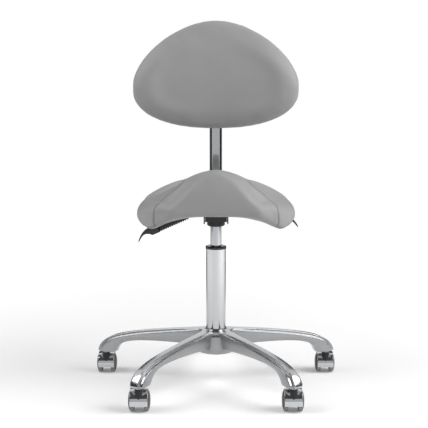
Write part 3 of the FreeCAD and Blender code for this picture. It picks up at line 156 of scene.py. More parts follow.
# Hub: webs from arm to arm, a low collar round the column, the bore, and the skirt under the arms.
# Each row is a radius and a height in millimetres, from the collar over the bore to the skirt.
HUB_RINGS = ((31.5, 144.6), (28.0, 146.0), (26.4, 147.4), (25.6, 146.6), (25.6, 86.2), (27.5, 84.2),
             (32.0, 84.2), (34.4, 87.0), (34.4, 95.0))
WEB_SWELL = 1.0
HALF_SHARE = math.radians(36)
EDGE_ANGLE = math.radians(24)
webs = []
for sign, chain in ((1, root[1:10]), (-1, root[19:10:-1])):
    web = []
    for vert in chain:
        reach = WEB_SWELL * (vert.co.x * math.cos(HALF_SHARE) + abs(vert.co.y) * math.sin(HALF_SHARE))
        web.append(cage.verts.new((reach * math.cos(HALF_SHARE), sign * reach * math.sin(HALF_SHARE), vert.co.z)))
    for level in range(len(chain) - 1):
        corners = [chain[level], chain[level + 1], web[level + 1], web[level]]
        cage.faces.new(corners)
    webs.append(web)
before = [webs[1][0], root[19], root[0], root[1], webs[0][0]]
for radius, height in HUB_RINGS:
    ring = [cage.verts.new((radius * 0.001 * math.cos(angle), radius * 0.001 * math.sin(angle), height * 0.001))
            for angle in (-HALF_SHARE, -EDGE_ANGLE, 0.0, EDGE_ANGLE, HALF_SHARE)]
    for column in range(4):
        cage.faces.new([before[column], before[column + 1], ring[column + 1], ring[column]])
    before = ring
under = [webs[1][-1], root[11], root[10], root[9], webs[0][-1]]
for column in range(4):
    cage.faces.new([before[column], before[column + 1], under[column + 1], under[column]])
bmesh.update_edit_mesh(star.data)
bpy.ops.mesh.select_all(action="SELECT")
bpy.ops.transform.rotate(value=-math.radians(18), orient_axis="Z", center_override=(0, 0, 0))
bpy.ops.mesh.spin(steps=5, dupli=True, angle=2 * math.pi, center=(0, 0, 0), axis=(0, 0, 1))
bpy.ops.mesh.select_all(action="SELECT")
bpy.ops.mesh.remove_doubles(threshold=0.0001)
bpy.ops.mesh.normals_make_consistent(inside=False)
bpy.ops.object.mode_set(mode="OBJECT")
subdivide(star, 2)
deselect()
star.select_set(True)
bpy.ops.object.shade_smooth()

# Barrel of the hub: a round belly between the roots of the arms.
BARREL_RADIUS = 0.047
BARREL_WALL = 0.015
BARREL_LOW, BARREL_TOP = 0.0850, 0.1350
BARREL_EDGE = 0.0068
deselect()
bpy.ops.mesh.primitive_cylinder_add(vertices=120, radius=BARREL_RADIUS, depth=BARREL_TOP - BARREL_LOW,
                                    end_fill_type="NOTHING", location=(0, 0, (BARREL_LOW + BARREL_TOP) / 2))
barrel = bpy.context.object
bpy.ops.object.transform_apply(location=True, rotation=True, scale=True)
wall = barrel.modifiers.new("wall", "SOLIDIFY")
wall.thickness = BARREL_WALL
wall.offset = -1.0
bevel(barrel, BARREL_EDGE, 7)
unite(star, barrel)


def linear(code):
    """The linear colour of an sRGB hex value."""
    shares = [int(code[i:i + 2], 16) / 255 for i in (0, 2, 4)]
    return [c / 12.92 if c <= 0.04045 else ((c + 0.055) / 1.055) ** 2.4 for c in shares] + [1.0]


def new_finish(name):
    """An empty material with its output, and the surface shader already joined to it."""
    finish = bpy.data.materials.new(name)
    finish.use_nodes = True
    finish.node_tree.nodes.clear()
    surface = add(finish, "ShaderNodeBsdfPrincipled")
    add(finish, "ShaderNodeOutputMaterial", links={"Surface": surface.outputs["BSDF"]})
    return finish, surface


def add(finish, kind, settings=None, links=None):
    """Adds a node, sets its own fields and sockets, and joins other nodes' outputs to it."""
    node = finish.node_tree.nodes.new(kind)
    for key, value in (settings or {}).items():
        if isinstance(key, int) or key in node.inputs:
            node.inputs[key].default_value = value
        else:
            setattr(node, key, value)
    for key, source in (links or {}).items():
        finish.node_tree.links.new(source, node.inputs[key])
    return node


def join(finish, source, socket):
    """Joins one node's output to a socket of another."""
    finish.node_tree.links.new(source, socket)


def coat(finish, *nodes):
    """Gives the named solids a finish."""
    for name in nodes:
        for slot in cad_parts[name].material_slots:
            slot.material = finish


# Cast aluminium: the backs of the arms are buffed bright, with faint buffing marks, and the sides are
# tumbled, so they stay duller and blur what they reflect. The sides also get a darker tone, which is painted shade.
polished_aluminium, surface = new_finish("polished_cast_aluminium")
place = add(polished_aluminium, "ShaderNodeTexCoord")
cloud = add(polished_aluminium, "ShaderNodeTexNoise", {"Scale": 1 / 0.035, "Detail": 4.0},
            {"Vector": place.outputs["Object"]})
marks = add(polished_aluminium, "ShaderNodeTexNoise", {"Scale": 1 / 0.0045, "Detail": 5.0},
            {"Vector": place.outputs["Object"]})
# Buffed faces look up, or outwards along their arm at its end. All other faces get the darker tone of painted shade.
facing = add(polished_aluminium, "ShaderNodeSeparateXYZ", {}, {"Vector": place.outputs["Normal"]})
upward = add(polished_aluminium, "ShaderNodeMapRange", {"From Min": 0.30, "From Max": 0.75},
             {"Value": facing.outputs["Z"]})
along = add(polished_aluminium, "ShaderNodeVectorMath", {"operation": "MULTIPLY", 1: (1, 1, 0)},
            {0: place.outputs["Object"]})
reach = add(polished_aluminium, "ShaderNodeVectorMath", {"operation": "LENGTH"}, {0: along.outputs["Vector"]})
along = add(polished_aluminium, "ShaderNodeVectorMath", {"operation": "NORMALIZE"}, {0: along.outputs["Vector"]})
aside = add(polished_aluminium, "ShaderNodeVectorMath", {"operation": "CROSS_PRODUCT"},
            {0: along.outputs["Vector"], 1: place.outputs["Normal"]})
aside = add(polished_aluminium, "ShaderNodeSeparateXYZ", {}, {"Vector": aside.outputs["Vector"]})
aside = add(polished_aluminium, "ShaderNodeMath", {"operation": "ABSOLUTE"}, {0: aside.outputs["Z"]})
outward = add(polished_aluminium, "ShaderNodeMapRange", {"From Min": 0.85, "From Max": 0.55},
              {"Value": aside.outputs["Value"]})
at_end = add(polished_aluminium, "ShaderNodeMapRange", {"From Min": 0.20, "From Max": 0.26},
             {"Value": reach.outputs["Value"]})
outward = add(polished_aluminium, "ShaderNodeMath", {"operation": "MULTIPLY"},
              {0: outward.outputs["Result"], 1: at_end.outputs["Result"]})
buffed_and_lit = add(polished_aluminium, "ShaderNodeMath", {"operation": "MAXIMUM"},
             {0: upward.outputs["Result"], 1: outward.outputs["Value"]})
# Painted shade: faces that don't look up, or out at an arm's end, take a darker tone than the buffed ones.
shaded_side_tone = add(polished_aluminium, "ShaderNodeMix",
                   {"data_type": "RGBA", 6: linear("a0a1a3"), 7: linear("aeafb1")}, {0: cloud.outputs["Fac"]})
tone = add(polished_aluminium, "ShaderNodeMix", {"data_type": "RGBA", 7: linear("b6b7b9")},
           {0: buffed_and_lit.outputs["Value"], 6: shaded_side_tone.outputs[2]})
gloss = add(polished_aluminium, "ShaderNodeMapRange",
            {"From Min": 0.3, "From Max": 0.7, "To Min": 0.17, "To Max": 0.25},
            {"Value": marks.outputs["Fac"]})
tumbled = add(polished_aluminium, "ShaderNodeMapRange", {"To Min": 0.16, "To Max": 0.0},
              {"Value": buffed_and_lit.outputs["Value"]})
gloss = add(polished_aluminium, "ShaderNodeMath", {"operation": "ADD"},
            {0: gloss.outputs["Result"], 1: tumbled.outputs["Result"]})
at_hub = add(polished_aluminium, "ShaderNodeMapRange",
             {"From Min": 0.047, "From Max": 0.075, "To Min": 0.06, "To Max": 0.0}, {"Value": reach.outputs["Value"]})
gloss = add(polished_aluminium, "ShaderNodeMath", {"operation": "ADD"},
            {0: gloss.outputs["Value"], 1: at_hub.outputs["Result"]})
relief = add(polished_aluminium, "ShaderNodeBump", {"Strength": 0.05, "Distance": 0.0006},
             {"Height": cloud.outputs["Fac"]})
surface.inputs["Metallic"].default_value = 1.0
join(polished_aluminium, tone.outputs[2], surface.inputs["Base Color"])
join(polished_aluminium, gloss.outputs["Value"], surface.inputs["Roughness"])
join(polished_aluminium, relief.outputs["Normal"], surface.inputs["Normal"])
star.data.materials.append(polished_aluminium)
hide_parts("base_star")
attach(star, "base")


# CASTERS
# Twin-wheel casters: a chromed hood with a stem barrel between two wheels on a steel axle.
# Each stem is zinc plated and held in the arm's end by a split spring ring.

def mottled(name, across, detail, tones, gloss, relief=None, metal=False, tall=None, span=(0.3, 0.7)):
    """A finish whose tone, gloss and relief follow one cloudy pattern of this width, or this width and height."""
    finish, surface = new_finish(name)
    place = add(finish, "ShaderNodeTexCoord").outputs["Object"]
    scale = 1 / across
    if tall:
        place = add(finish, "ShaderNodeMapping", {"Scale": (1 / across, 1 / across, 1 / tall)},
                    {"Vector": place}).outputs["Vector"]
        scale = 1.0
    cloud = add(finish, "ShaderNodeTexNoise", {"Scale": scale, "Detail": detail}, {"Vector": place}).outputs["Fac"]
    tone = add(finish, "ShaderNodeMix",
               {"data_type": "RGBA", 6: linear(tones[0]), 7: linear(tones[1])}, {0: cloud})
    rough = add(finish, "ShaderNodeMapRange", {"From Min": span[0], "From Max": span[1],
                                               "To Min": gloss[0], "To Max": gloss[1]}, {"Value": cloud})
    join(finish, tone.outputs[2], surface.inputs["Base Color"])
    join(finish, rough.outputs["Result"], surface.inputs["Roughness"])
    if relief:
        bump = add(finish, "ShaderNodeBump", {"Strength": relief[0], "Distance": relief[1]}, {"Height": cloud})
        join(finish, bump.outputs["Normal"], surface.inputs["Normal"])
    if metal:
        surface.inputs["Metallic"].default_value = 1.0
    return finish


# Bright chrome plate: nearly a mirror, with faint wiping marks in the gloss.
bright_chrome = mottled("bright_chrome_plate", 0.012, 5.0, ("bcbec1", "c8cacc"), (0.05, 0.11), metal=True)

# Zinc-plated steel: dull silver with a patchy bloom.
zinc_plate = mottled("zinc_plated_steel", 0.004, 6.0, ("9c9ea1", "b9bbbd"), (0.24, 0.40), metal=True)
coat(zinc_plate, "caster_stems", "stem_grip_rings", *["caster_axle_%d" % number for number in range(1, 6)])

# Black moulded yoke under the hood: dead matt from a spark-eroded mould.
matt_black, surface = new_finish("moulded_matt_black")
place = add(matt_black, "ShaderNodeTexCoord")
# The real texture is about 0.1 mm across, drawn at 0.7 mm so that it shows.
spark = add(matt_black, "ShaderNodeTexNoise", {"Scale": 1 / 0.0007, "Detail": 2.0},
            {"Vector": place.outputs["Object"]})
patch = add(matt_black, "ShaderNodeTexNoise", {"Scale": 1 / 0.02, "Detail": 4.0},
            {"Vector": place.outputs["Object"]})
tone = add(matt_black, "ShaderNodeMix",
           {"data_type": "RGBA", 6: linear("131415"), 7: linear("1f2022")}, {0: patch.outputs["Fac"]})
gloss = add(matt_black, "ShaderNodeMapRange",
            {"From Min": 0.3, "From Max": 0.7, "To Min": 0.44, "To Max": 0.60},
            {"Value": patch.outputs["Fac"]})
relief = add(matt_black, "ShaderNodeBump", {"Strength": 0.25, "Distance": 0.0003},
             {"Height": spark.outputs["Fac"]})
join(matt_black, tone.outputs[2], surface.inputs["Base Color"])
join(matt_black, gloss.outputs["Result"], surface.inputs["Roughness"])
join(matt_black, relief.outputs["Normal"], surface.inputs["Normal"])

# Grey tread rubber and a darker moulded core: satin, with a fine dusty scuff.
wheel_finishes = [
    mottled(name, 0.003, 6.0, tones, (0.36, 0.56), (0.15, 0.0004))
    for name, tones in (("grey_wheel_tread", ("77787a", "8f9092")), ("dark_wheel_core", ("3a3b3d", "4a4b4d")))]


def select_faces(piece, wanted):
    """Selects the faces of a piece that a test picks, and opens it for editing."""
    bpy.context.tool_settings.mesh_select_mode = (False, False, True)
    bpy.ops.object.mode_set(mode="EDIT")
    bpy.ops.mesh.select_all(action="DESELECT")
    bpy.ops.object.mode_set(mode="OBJECT")
    for face in piece.data.polygons:
        face.select = wanted(face)
    bpy.ops.object.mode_set(mode="EDIT")


def set_down(pattern, name, move):
    """A copy of a finished pattern with its own mesh, moved to its place."""
    piece = bpy.data.objects.new(name, pattern.data.copy())
    piece.data.transform(move)
    bpy.context.scene.collection.objects.link(piece)
    return piece


STEM_RADIUS = 0.308
STEM_ANGLES = (90, 162, 234, 306, 18)
TRAIL = 0.018
AXLE_HEIGHT = 0.025
HOOD_RADIUS = 0.029
HOOD_WIDTH = 0.042
HOOD_FROM, HOOD_TO = 24, 196
HOOD_WALL = 0.002
WHEEL_RADIUS = 0.025
WHEEL_WIDTH = 0.0106
WHEEL_MIDDLE = 0.0168
TREAD_INSIDE = 0.0226

deselect()
bpy.ops.mesh.primitive_cylinder_add(vertices=90, radius=HOOD_RADIUS, depth=HOOD_WIDTH, end_fill_type="NOTHING",
                                    location=(0, TRAIL, AXLE_HEIGHT), rotation=(0, math.pi / 2, 0))
hood = bpy.context.object
bpy.ops.object.transform_apply(location=True, rotation=True, scale=True)
select_faces(hood, lambda face: not HOOD_FROM < math.degrees(
    math.atan2(face.center.z - AXLE_HEIGHT, face.center.y - TRAIL)) % 360 < HOOD_TO)
bpy.ops.mesh.delete(type="FACE")
bpy.ops.object.mode_set(mode="OBJECT")
wall = hood.modifiers.new("wall", "SOLIDIFY")
wall.thickness = HOOD_WALL
wall.offset = -1.0
bevel(hood, 0.0006, 3)
hood.data.materials.append(bright_chrome)

deselect()
bpy.ops.mesh.primitive_cylinder_add(vertices=48, radius=0.0095, depth=0.038, location=(0, 0, 0.039))
yoke = bpy.context.object
bpy.ops.mesh.primitive_cylinder_add(vertices=48, radius=0.0080, depth=0.0224, location=(0, TRAIL, AXLE_HEIGHT),
                                    rotation=(0, math.pi / 2, 0))
boss = bpy.context.object
bpy.ops.mesh.primitive_cube_add(size=1.0, location=(0, TRAIL * 0.55, 0.034), scale=(0.010, 0.026, 0.020))
web = bpy.context.object
deselect()
for piece in (web, boss, yoke):
    piece.select_set(True)
    bpy.context.view_layer.objects.active = piece
bpy.ops.object.transform_apply(location=True, rotation=True, scale=True)
bpy.ops.object.join()
bevel(yoke, 0.0010, 3)
yoke.data.materials.append(matt_black)

# Outer cap of the wheel: a groove inside the tread, then the core swells to a shallow dome.
DOME_STEPS = ((0.0022, -0.0007), (0.0010, 0.0016), (0.0060, 0.0020), (0.0060, 0.0009), (0.0050, 0.0002))
RECESS_STEPS = ((0.0040, -0.0025), (0.0100, 0.0), (0.0010, 0.0022))
deselect()
bpy.ops.mesh.primitive_cylinder_add(vertices=72, radius=WHEEL_RADIUS, depth=WHEEL_WIDTH,
                                    location=(WHEEL_MIDDLE, 0, 0), rotation=(0, math.pi / 2, 0))
wheel = bpy.context.object
bpy.ops.object.transform_apply(location=True, rotation=True, scale=True)
for facing, steps in ((1, DOME_STEPS), (-1, RECESS_STEPS)):
    select_faces(wheel, lambda face: face.normal.x * facing > 0.9)
    for inward, outward in steps:
        bpy.ops.mesh.inset(thickness=inward, depth=outward)
    bpy.ops.object.mode_set(mode="OBJECT")
bevel(wheel, 0.0008, 3)
for finish in wheel_finishes:
    wheel.data.materials.append(finish)
for face in wheel.data.polygons:
    face.material_index = 0 if math.hypot(face.center.y, face.center.z) > TREAD_INSIDE else 1

for number, angle in enumerate(STEM_ANGLES, start=1):
    stem = Vector((STEM_RADIUS * math.cos(math.radians(angle)), STEM_RADIUS * math.sin(math.radians(angle)), 0))
    body = "caster_%d" % number
    cover = set_down(hood, "caster_hood_cover_%d" % number, Matrix.Translation(stem))
    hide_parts("caster_hood_%d" % number)
    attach(cover, body)
    fork = set_down(yoke, "caster_yoke_%d" % number, Matrix.Translation(stem))
    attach(fork, body)
    axle = Matrix.Translation(stem + Vector((0, TRAIL, AXLE_HEIGHT)))
    for side, sign in (("left", -1), ("right", 1)):
        roller = set_down(wheel, "wheel_%d_%s" % (number, side), axle @ Matrix.Diagonal((sign, 1, 1, 1)))
        if sign < 0:
            roller.data.flip_normals()
        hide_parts("caster_wheel_%d_%s" % (number, side))
        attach(roller, "wheel_%d_%s" % (number, side))
for pattern in (hood, yoke, wheel):
    bpy.data.objects.remove(pattern)


# COLUMN
# Bright-drawn column tube pressed into the hub, with a black guide sleeve whose glossy rim shows on top.
# A thrust bearing in its floor carries the piston rod.

# Satin-polished tube: fine turned lines run round it and spread the reflections.
satin_tube = mottled("satin_polished_tube", 0.08, 3.0, ("b6b7b9", "c2c3c5"), (0.10, 0.16), (0.02, 0.0003),
                     metal=True, tall=0.0012)
coat(satin_tube, "column_tube")

# Glossy black nylon: smooth moulding with a little waviness in the shine.
glossy_black = mottled("glossy_black_nylon", 0.009, 3.0, ("0b0b0c", "151516"), (0.14, 0.26), (0.08, 0.0004))
coat(glossy_black, "guide_sleeve")
coat(zinc_plate, "bearing_lower_race", "bearing_ball_cage", "bearing_upper_race")


# GAS LIFT
# Piston rod with its clip and rubber buffer inside the column, and the chromed cylinder that slides on it.
# The cylinder's tapered head carries the release pin.

# Black rubber: soft, dull, slightly bloomed.
black_rubber = mottled("black_rubber", 0.006, 5.0, ("1a1a1a", "2a2a29"), (0.70, 0.92), span=(0.0, 1.0))

coat(zinc_plate, "piston_rod", "piston_head", "rod_clip", "valve_pin")
coat(black_rubber, "bump_stop")
coat(matt_black, "rod_seal")

# Dark chrome on the ground cylinder: bright, but greyer than the plate on the post.
dark_chrome = mottled("dark_chrome_cylinder", 0.03, 3.0, ("a2a4a7", "afb1b3"), (0.07, 0.13),
                      metal=True, tall=0.0015)
coat(dark_chrome, "gas_cylinder")


# MECHANISM
# Pressed and welded steel tray under the seat with the boss for the gas lift, powder coated black.
# Axles and pins are plain zinc-plated steel, running in moulded bushes.

# Black powder coat: even satin black with a fine orange peel.
black_coat = mottled("black_powder_coat", 0.0018, 2.0, ("101112", "18191a"), (0.30, 0.44), (0.2, 0.0004))
coat(black_coat, "mechanism_housing", "taper_socket")
coat(zinc_plate, "tilt_axle", "back_axle", "lever_pivots")
coat(matt_black, "tilt_bushes")


# LEVERS
# Steel bars with moulded glossy grips: ribbed shank, square block and a thin curved paddle.
# The left one opens the gas lift, the right one frees the tilt.
coat(black_coat, "height_lever_rod", "tilt_lever_rod")

# Sections of a grip from shank to tip, in millimetres: distance from the pivot, underside, top, half width.
GRIP_SECTIONS = (
    (49.5, -6.0, 5.6, 7.6), (50.2, -6.6, 6.2, 8.6), (52.0, -6.8, 6.4, 9.0), (90.0, -6.8, 6.4, 9.0),
    (136.6, -6.8, 6.4, 9.0), (137.6, -7.0, 6.6, 9.2), (138.4, -8.6, 8.4, 11.6), (139.4, -8.8, 8.8, 11.9),
    (150.0, -8.8, 11.4, 12.0), (160.0, -8.6, 13.6, 12.0), (161.4, -8.0, 13.7, 12.0), (162.4, -5.4, 13.6, 12.0),
    (168.0, -1.6, 12.6, 12.0), (177.5, 2.2, 10.2, 12.0), (186.0, -1.4, 4.8, 11.8), (193.0, -6.4, -0.6, 11.2),
    (198.4, -10.6, -6.2, 10.2), (199.6, -11.0, -8.0, 9.4))
RIB_PITCH = 0.006
RIB_COUNT = 13


def grip_loop(section):
    """The points round one section of a grip, a rectangle with broken corners."""
    far, low, high, half = (value * 0.001 for value in section)
    corner = min(0.0016, (high - low) * 0.3)
    side = ((half - corner, high), (half, high - corner), (half, (high + low) / 2), (half, low + corner),
            (half - corner, low))
    ring = [(0.0, high), *side, (0.0, low), *[(-wide, tall) for wide, tall in reversed(side)]]
    return [Vector((far, wide, tall)) for wide, tall in ring]


deselect()
bpy.ops.mesh.primitive_circle_add(vertices=12, radius=0.01)
grip = bpy.context.object
bpy.ops.object.mode_set(mode="EDIT")
cage = bmesh.from_edit_mesh(grip.data)
cage.verts.ensure_lookup_table()
first = list(cage.verts)
for vert, place in zip(first, grip_loop(GRIP_SECTIONS[0])):
    vert.co = place
last = draw_out(cage, first, [grip_loop(section) for section in GRIP_SECTIONS[1:]])
for end in (first, last):
    lid = cage.faces.new(end)
    bmesh.ops.inset_region(cage, faces=[lid], thickness=0.0006)
bmesh.ops.recalc_face_normals(cage, faces=cage.faces[:])
bmesh.update_edit_mesh(grip.data)
bpy.ops.object.mode_set(mode="OBJECT")
subdivide(grip, 2)
bpy.ops.object.shade_smooth()

deselect()
bpy.ops.mesh.primitive_cube_add(size=1.0, location=(0.138 - RIB_PITCH * RIB_COUNT + 0.0015, 0, -0.0002),
                                scale=(0.0030, 0.0208, 0.0164))
rib = bpy.context.object
bpy.ops.object.transform_apply(location=True, rotation=True, scale=True)
row = rib.modifiers.new("row", "ARRAY")
row.count = RIB_COUNT
row.use_relative_offset = False
row.use_constant_offset = True
row.constant_offset_displace = (RIB_PITCH, 0, 0)
bevel(rib, 0.0011, 3)
unite(grip, rib)
grip.data.materials.append(glossy_black)

for name, sign, pivot, slope, extra in (
        ("height", -1, (-0.018, 0.0, 0.459), 24.0, 0.0), ("tilt", 1, (0.018, 0.070, 0.459), 14.6, 0.005)):
    turn = Matrix.Rotation(0.0 if sign > 0 else math.pi, 4, "Z") @ Matrix.Rotation(math.radians(slope), 4, "Y")
    handle = set_down(grip, name + "_grip_moulding",
                      Matrix.Translation(pivot) @ turn @ Matrix.Translation((extra, 0, 0)))
    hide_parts(name + "_lever_grip")
    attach(handle, name + "_lever")
bpy.data.objects.remove(grip)


# SEAT
# Steel plate with two hanging ears, bolted to a moulded shell that carries the foam saddle.
# The cover is grey leatherette, with a sewn seam over each lobe and the edge tucked under the shell.

def cover_blank(node, name, tuck, spacing):
    """A closed even mesh in the form of a foam solid, drawn in by the tuck for the cover to swell out again."""
    blank = bpy.data.objects.new(name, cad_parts[node].data.copy())
    bpy.context.scene.collection.objects.link(blank)
    blank.data.materials.clear()
    deselect()
    blank.select_set(True)
    bpy.context.view_layer.objects.active = blank
    bpy.ops.object.mode_set(mode="EDIT")
    bpy.ops.mesh.select_all(action="SELECT")
    bpy.ops.mesh.remove_doubles(threshold=0.00002)
    bpy.ops.mesh.normals_make_consistent(inside=False)
    bpy.ops.object.mode_set(mode="OBJECT")
    even = blank.modifiers.new("even", "REMESH")
    even.mode = "VOXEL"
    even.voxel_size = spacing
    draw_in = blank.modifiers.new("draw_in", "DISPLACE")
    draw_in.strength = -tuck
    draw_in.mid_level = 0.0
    settle(blank, 6)
    return blank


def settle(piece, rounds):
    """Evens out the small bumps of a cover."""
    ease = piece.modifiers.new("ease", "SMOOTH")
    ease.factor = 0.5
    ease.iterations = rounds
    apply_all(piece)


def points_of(piece):
    """The places of a piece's points, one row each."""
    flat = np.empty(len(piece.data.vertices) * 3)
    piece.data.vertices.foreach_get("co", flat)
    return flat.reshape(-1, 3)


def normals_of(piece):
    """The outward directions at a piece's points, one row each."""
    flat = np.empty(len(piece.data.vertices) * 3)
    piece.data.vertex_normals.foreach_get("vector", flat)
    return flat.reshape(-1, 3)


def set_points(piece, points):
    """Moves a piece's points to these places."""
    piece.data.vertices.foreach_set("co", points.ravel())
    piece.data.update()


def blow_up(piece, held, pressure, travel):
    """Swells the cover as foam fills it. Held points stay, and no point moves further than the travel."""
    before = points_of(piece)
    pins = piece.vertex_groups.new(name="held")
    pins.add([int(index) for index in np.flatnonzero(held)], 1.0, "REPLACE")
    cloth = piece.modifiers.new("cover", "CLOTH")
    cloth.settings.quality = 5
    cloth.settings.mass = 0.3
    cloth.settings.tension_stiffness = 18
    cloth.settings.compression_stiffness = 18
    cloth.settings.bending_stiffness = 4
    cloth.settings.use_pressure = True
    cloth.settings.uniform_pressure_force = pressure
    cloth.settings.effector_weights.gravity = 0
    cloth.settings.vertex_group_mass = "held"
    cloth.collision_settings.use_collision = False
    for step in range(1, 21):
        bpy.context.scene.frame_set(step)
    apply_all(piece)
    bpy.context.scene.frame_set(1)
    moved = points_of(piece) - before
    length = np.maximum(np.linalg.norm(moved, axis=1, keepdims=True), 1e-9)
    set_points(piece, before + moved * np.minimum(1.0, travel / length))
    piece.vertex_groups.clear()


def fill_out(piece, node):
    """Pads a cover evenly until it stands as tall as its foam solid."""
    low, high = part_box(node)
    points = points_of(piece)
    short = (high.z - low.z) - np.ptp(points[:, 2])
    set_points(piece, points + normals_of(piece) * short / 2)


def smooth_line(route, steps=10):
    """A smooth line through a few places."""
    marks = np.array(route)
    marks = np.vstack([2 * marks[0] - marks[1], marks, 2 * marks[-1] - marks[-2]])
    line = []
    for a, b, c, d in zip(marks, marks[1:], marks[2:], marks[3:]):
        for t in np.arange(steps) / steps:
            line.append(b + 0.5 * t * (c - a + t * (2 * a - 5 * b + 4 * c - d + t * (3 * b - a - 3 * c + d))))
    return np.array(line + [marks[-2]])


def drape(piece, route):
    """A smooth line through a few places, laid onto the surface of a piece."""
    return np.array([piece.closest_point_on_mesh(Vector(place))[1] for place in smooth_line(route)])


def folded(points):
    """The points with the left half laid over onto the right, for lines drawn on one half."""
    return np.abs(points * [1, 0, 0]) + points * [0, 1, 1]


def along_line(points, line):
    """For each point, how far the nearest place of a bent line is, and how far along the line that lies."""
    nearest = np.full(len(points), 1e9)
    along = np.zeros(len(points))
    run = 0.0
    for first, last in zip(line[:-1], line[1:]):
        step = last - first
        length = np.linalg.norm(step)
        share = np.clip((points - first) @ step / length ** 2, 0.0, 1.0)
        gap = np.linalg.norm(points - first - share[:, None] * step, axis=1)
        closer = gap < nearest
        nearest[closer] = gap[closer]
        along[closer] = run + share[closer] * length
        run += length
    return nearest, along


def number_points(piece, name, values):
    """Keeps one number for each point of a piece, for its material to read."""
    kept = piece.data.attributes.new(name, "FLOAT", "POINT")
    kept.data.foreach_set("value", np.asarray(values, np.float32))


# Leatherette: vinyl on a knitted back, embossed with a fine pebble, satin rather than shiny.
# Sewn seams sink into the foam, with a row of stitches beside each. Along each seam line the colour is painted
# darker, as the shade in its groove.
leatherette, surface = new_finish("grey_leatherette")
place = add(leatherette, "ShaderNodeTexCoord")
# The real pebble is about 0.5 mm across, drawn at 1.4 mm so that it shows.
pebble = add(leatherette, "ShaderNodeTexVoronoi", {"Scale": 1 / 0.0014, "feature": "SMOOTH_F1"},
             {"Vector": place.outputs["Object"]})
handling = add(leatherette, "ShaderNodeTexNoise", {"Scale": 1 / 0.06, "Detail": 4.0},
               {"Vector": place.outputs["Object"]})
hide = add(leatherette, "ShaderNodeMix",
           {"data_type": "RGBA", 6: linear("939393"), 7: linear("9b9b9b")}, {0: handling.outputs["Fac"]})
seam = add(leatherette, "ShaderNodeAttribute", {"attribute_name": "seam"})
# Painted shade: within about 2 mm of a seam the colour is multiplied down to 0.45.
seam_painted_shade = add(leatherette, "ShaderNodeMapRange",
             {"From Min": 0.0007, "From Max": 0.0022, "To Min": 0.45, "To Max": 1.0},
             {"Value": seam.outputs["Fac"]})
shaded = add(leatherette, "ShaderNodeMix", {"data_type": "RGBA", "blend_type": "MULTIPLY", 0: 1.0},
             {6: hide.outputs[2], 7: seam_painted_shade.outputs["Result"]})
STITCH_PITCH = 0.0042
STITCH_SHARE = 0.7
STITCH_PLACE = 0.0032
STITCH_HALF = 0.0005
run = add(leatherette, "ShaderNodeAttribute", {"attribute_name": "seam_run"})
beat = add(leatherette, "ShaderNodeMath", {"operation": "DIVIDE", 1: STITCH_PITCH}, {0: run.outputs["Fac"]})
beat = add(leatherette, "ShaderNodeMath", {"operation": "FRACT"}, {0: beat.outputs["Value"]})
dash = add(leatherette, "ShaderNodeMath", {"operation": "LESS_THAN", 1: STITCH_SHARE}, {0: beat.outputs["Value"]})
band = add(leatherette, "ShaderNodeMath", {"operation": "COMPARE", 1: STITCH_PLACE, 2: STITCH_HALF},
           {0: seam.outputs["Fac"]})
stitch = add(leatherette, "ShaderNodeMath", {"operation": "MULTIPLY"},
             {0: dash.outputs["Value"], 1: band.outputs["Value"]})
sewn = add(leatherette, "ShaderNodeMix", {"data_type": "RGBA", 7: linear("7c7c7c")},
           {0: stitch.outputs["Value"], 6: shaded.outputs[2]})
raised = add(leatherette, "ShaderNodeMath", {"operation": "ADD"},
             {0: pebble.outputs["Distance"], 1: stitch.outputs["Value"]})
gloss = add(leatherette, "ShaderNodeMapRange",
            {"From Min": 0.3, "From Max": 0.7, "To Min": 0.46, "To Max": 0.56},
            {"Value": handling.outputs["Fac"]})
grain = add(leatherette, "ShaderNodeBump", {"Strength": 0.12, "Distance": 0.0004},
            {"Height": raised.outputs["Value"]})
join(leatherette, sewn.outputs[2], surface.inputs["Base Color"])
join(leatherette, gloss.outputs["Result"], surface.inputs["Roughness"])
join(leatherette, grain.outputs["Normal"], surface.inputs["Normal"])

coat(black_coat, "seat_plate", "seat_lock_strap")
coat(matt_black, "seat_shell")
coat(zinc_plate, "seat_bolts", "seat_inserts")

COVER_TUCK = 0.0020
COVER_MESH = 0.005
COVER_PRESSURE = 2.0
COVER_TRAVEL = 0.0022
SHELL_HALF = 0.14
saddle = cover_blank("seat_cushion", "saddle_cover", COVER_TUCK, COVER_MESH)
normals = normals_of(saddle)
tucked = (normals[:, 2] < -0.5) & (np.abs(points_of(saddle)[:, 0]) < SHELL_HALF)
blow_up(saddle, tucked, COVER_PRESSURE, COVER_TRAVEL)
settle(saddle, 8)
fill_out(saddle, "seat_cushion")

# The front panel stands out along a soft ridge from the pommel down to each side, with a valley beyond it.
RIDGE_ROUTE = ((0.005, -0.143, 0.548), (0.021, -0.148, 0.541), (0.032, -0.1485, 0.537), (0.053, -0.157, 0.517),
               (0.078, -0.165, 0.488), (0.095, -0.168, 0.4685), (0.1075, -0.164, 0.4576))
VALLEY_ROUTE = ((0.072, -0.141, 0.522), (0.093, -0.144, 0.502), (0.120, -0.151, 0.479), (0.135, -0.149, 0.460),
                (0.139, -0.1435, 0.4416))
for route, rise, spread in ((RIDGE_ROUTE, 0.0040, 0.013), (VALLEY_ROUTE, -0.0030, 0.012)):
    points = points_of(saddle)
    distance, run = along_line(folded(points), drape(saddle, route))
    set_points(saddle, points + normals_of(saddle) * (rise * np.exp(-(distance / spread) ** 2))[:, None])
settle(saddle, 4)
subdivide(saddle, 1)
bpy.ops.object.shade_smooth()

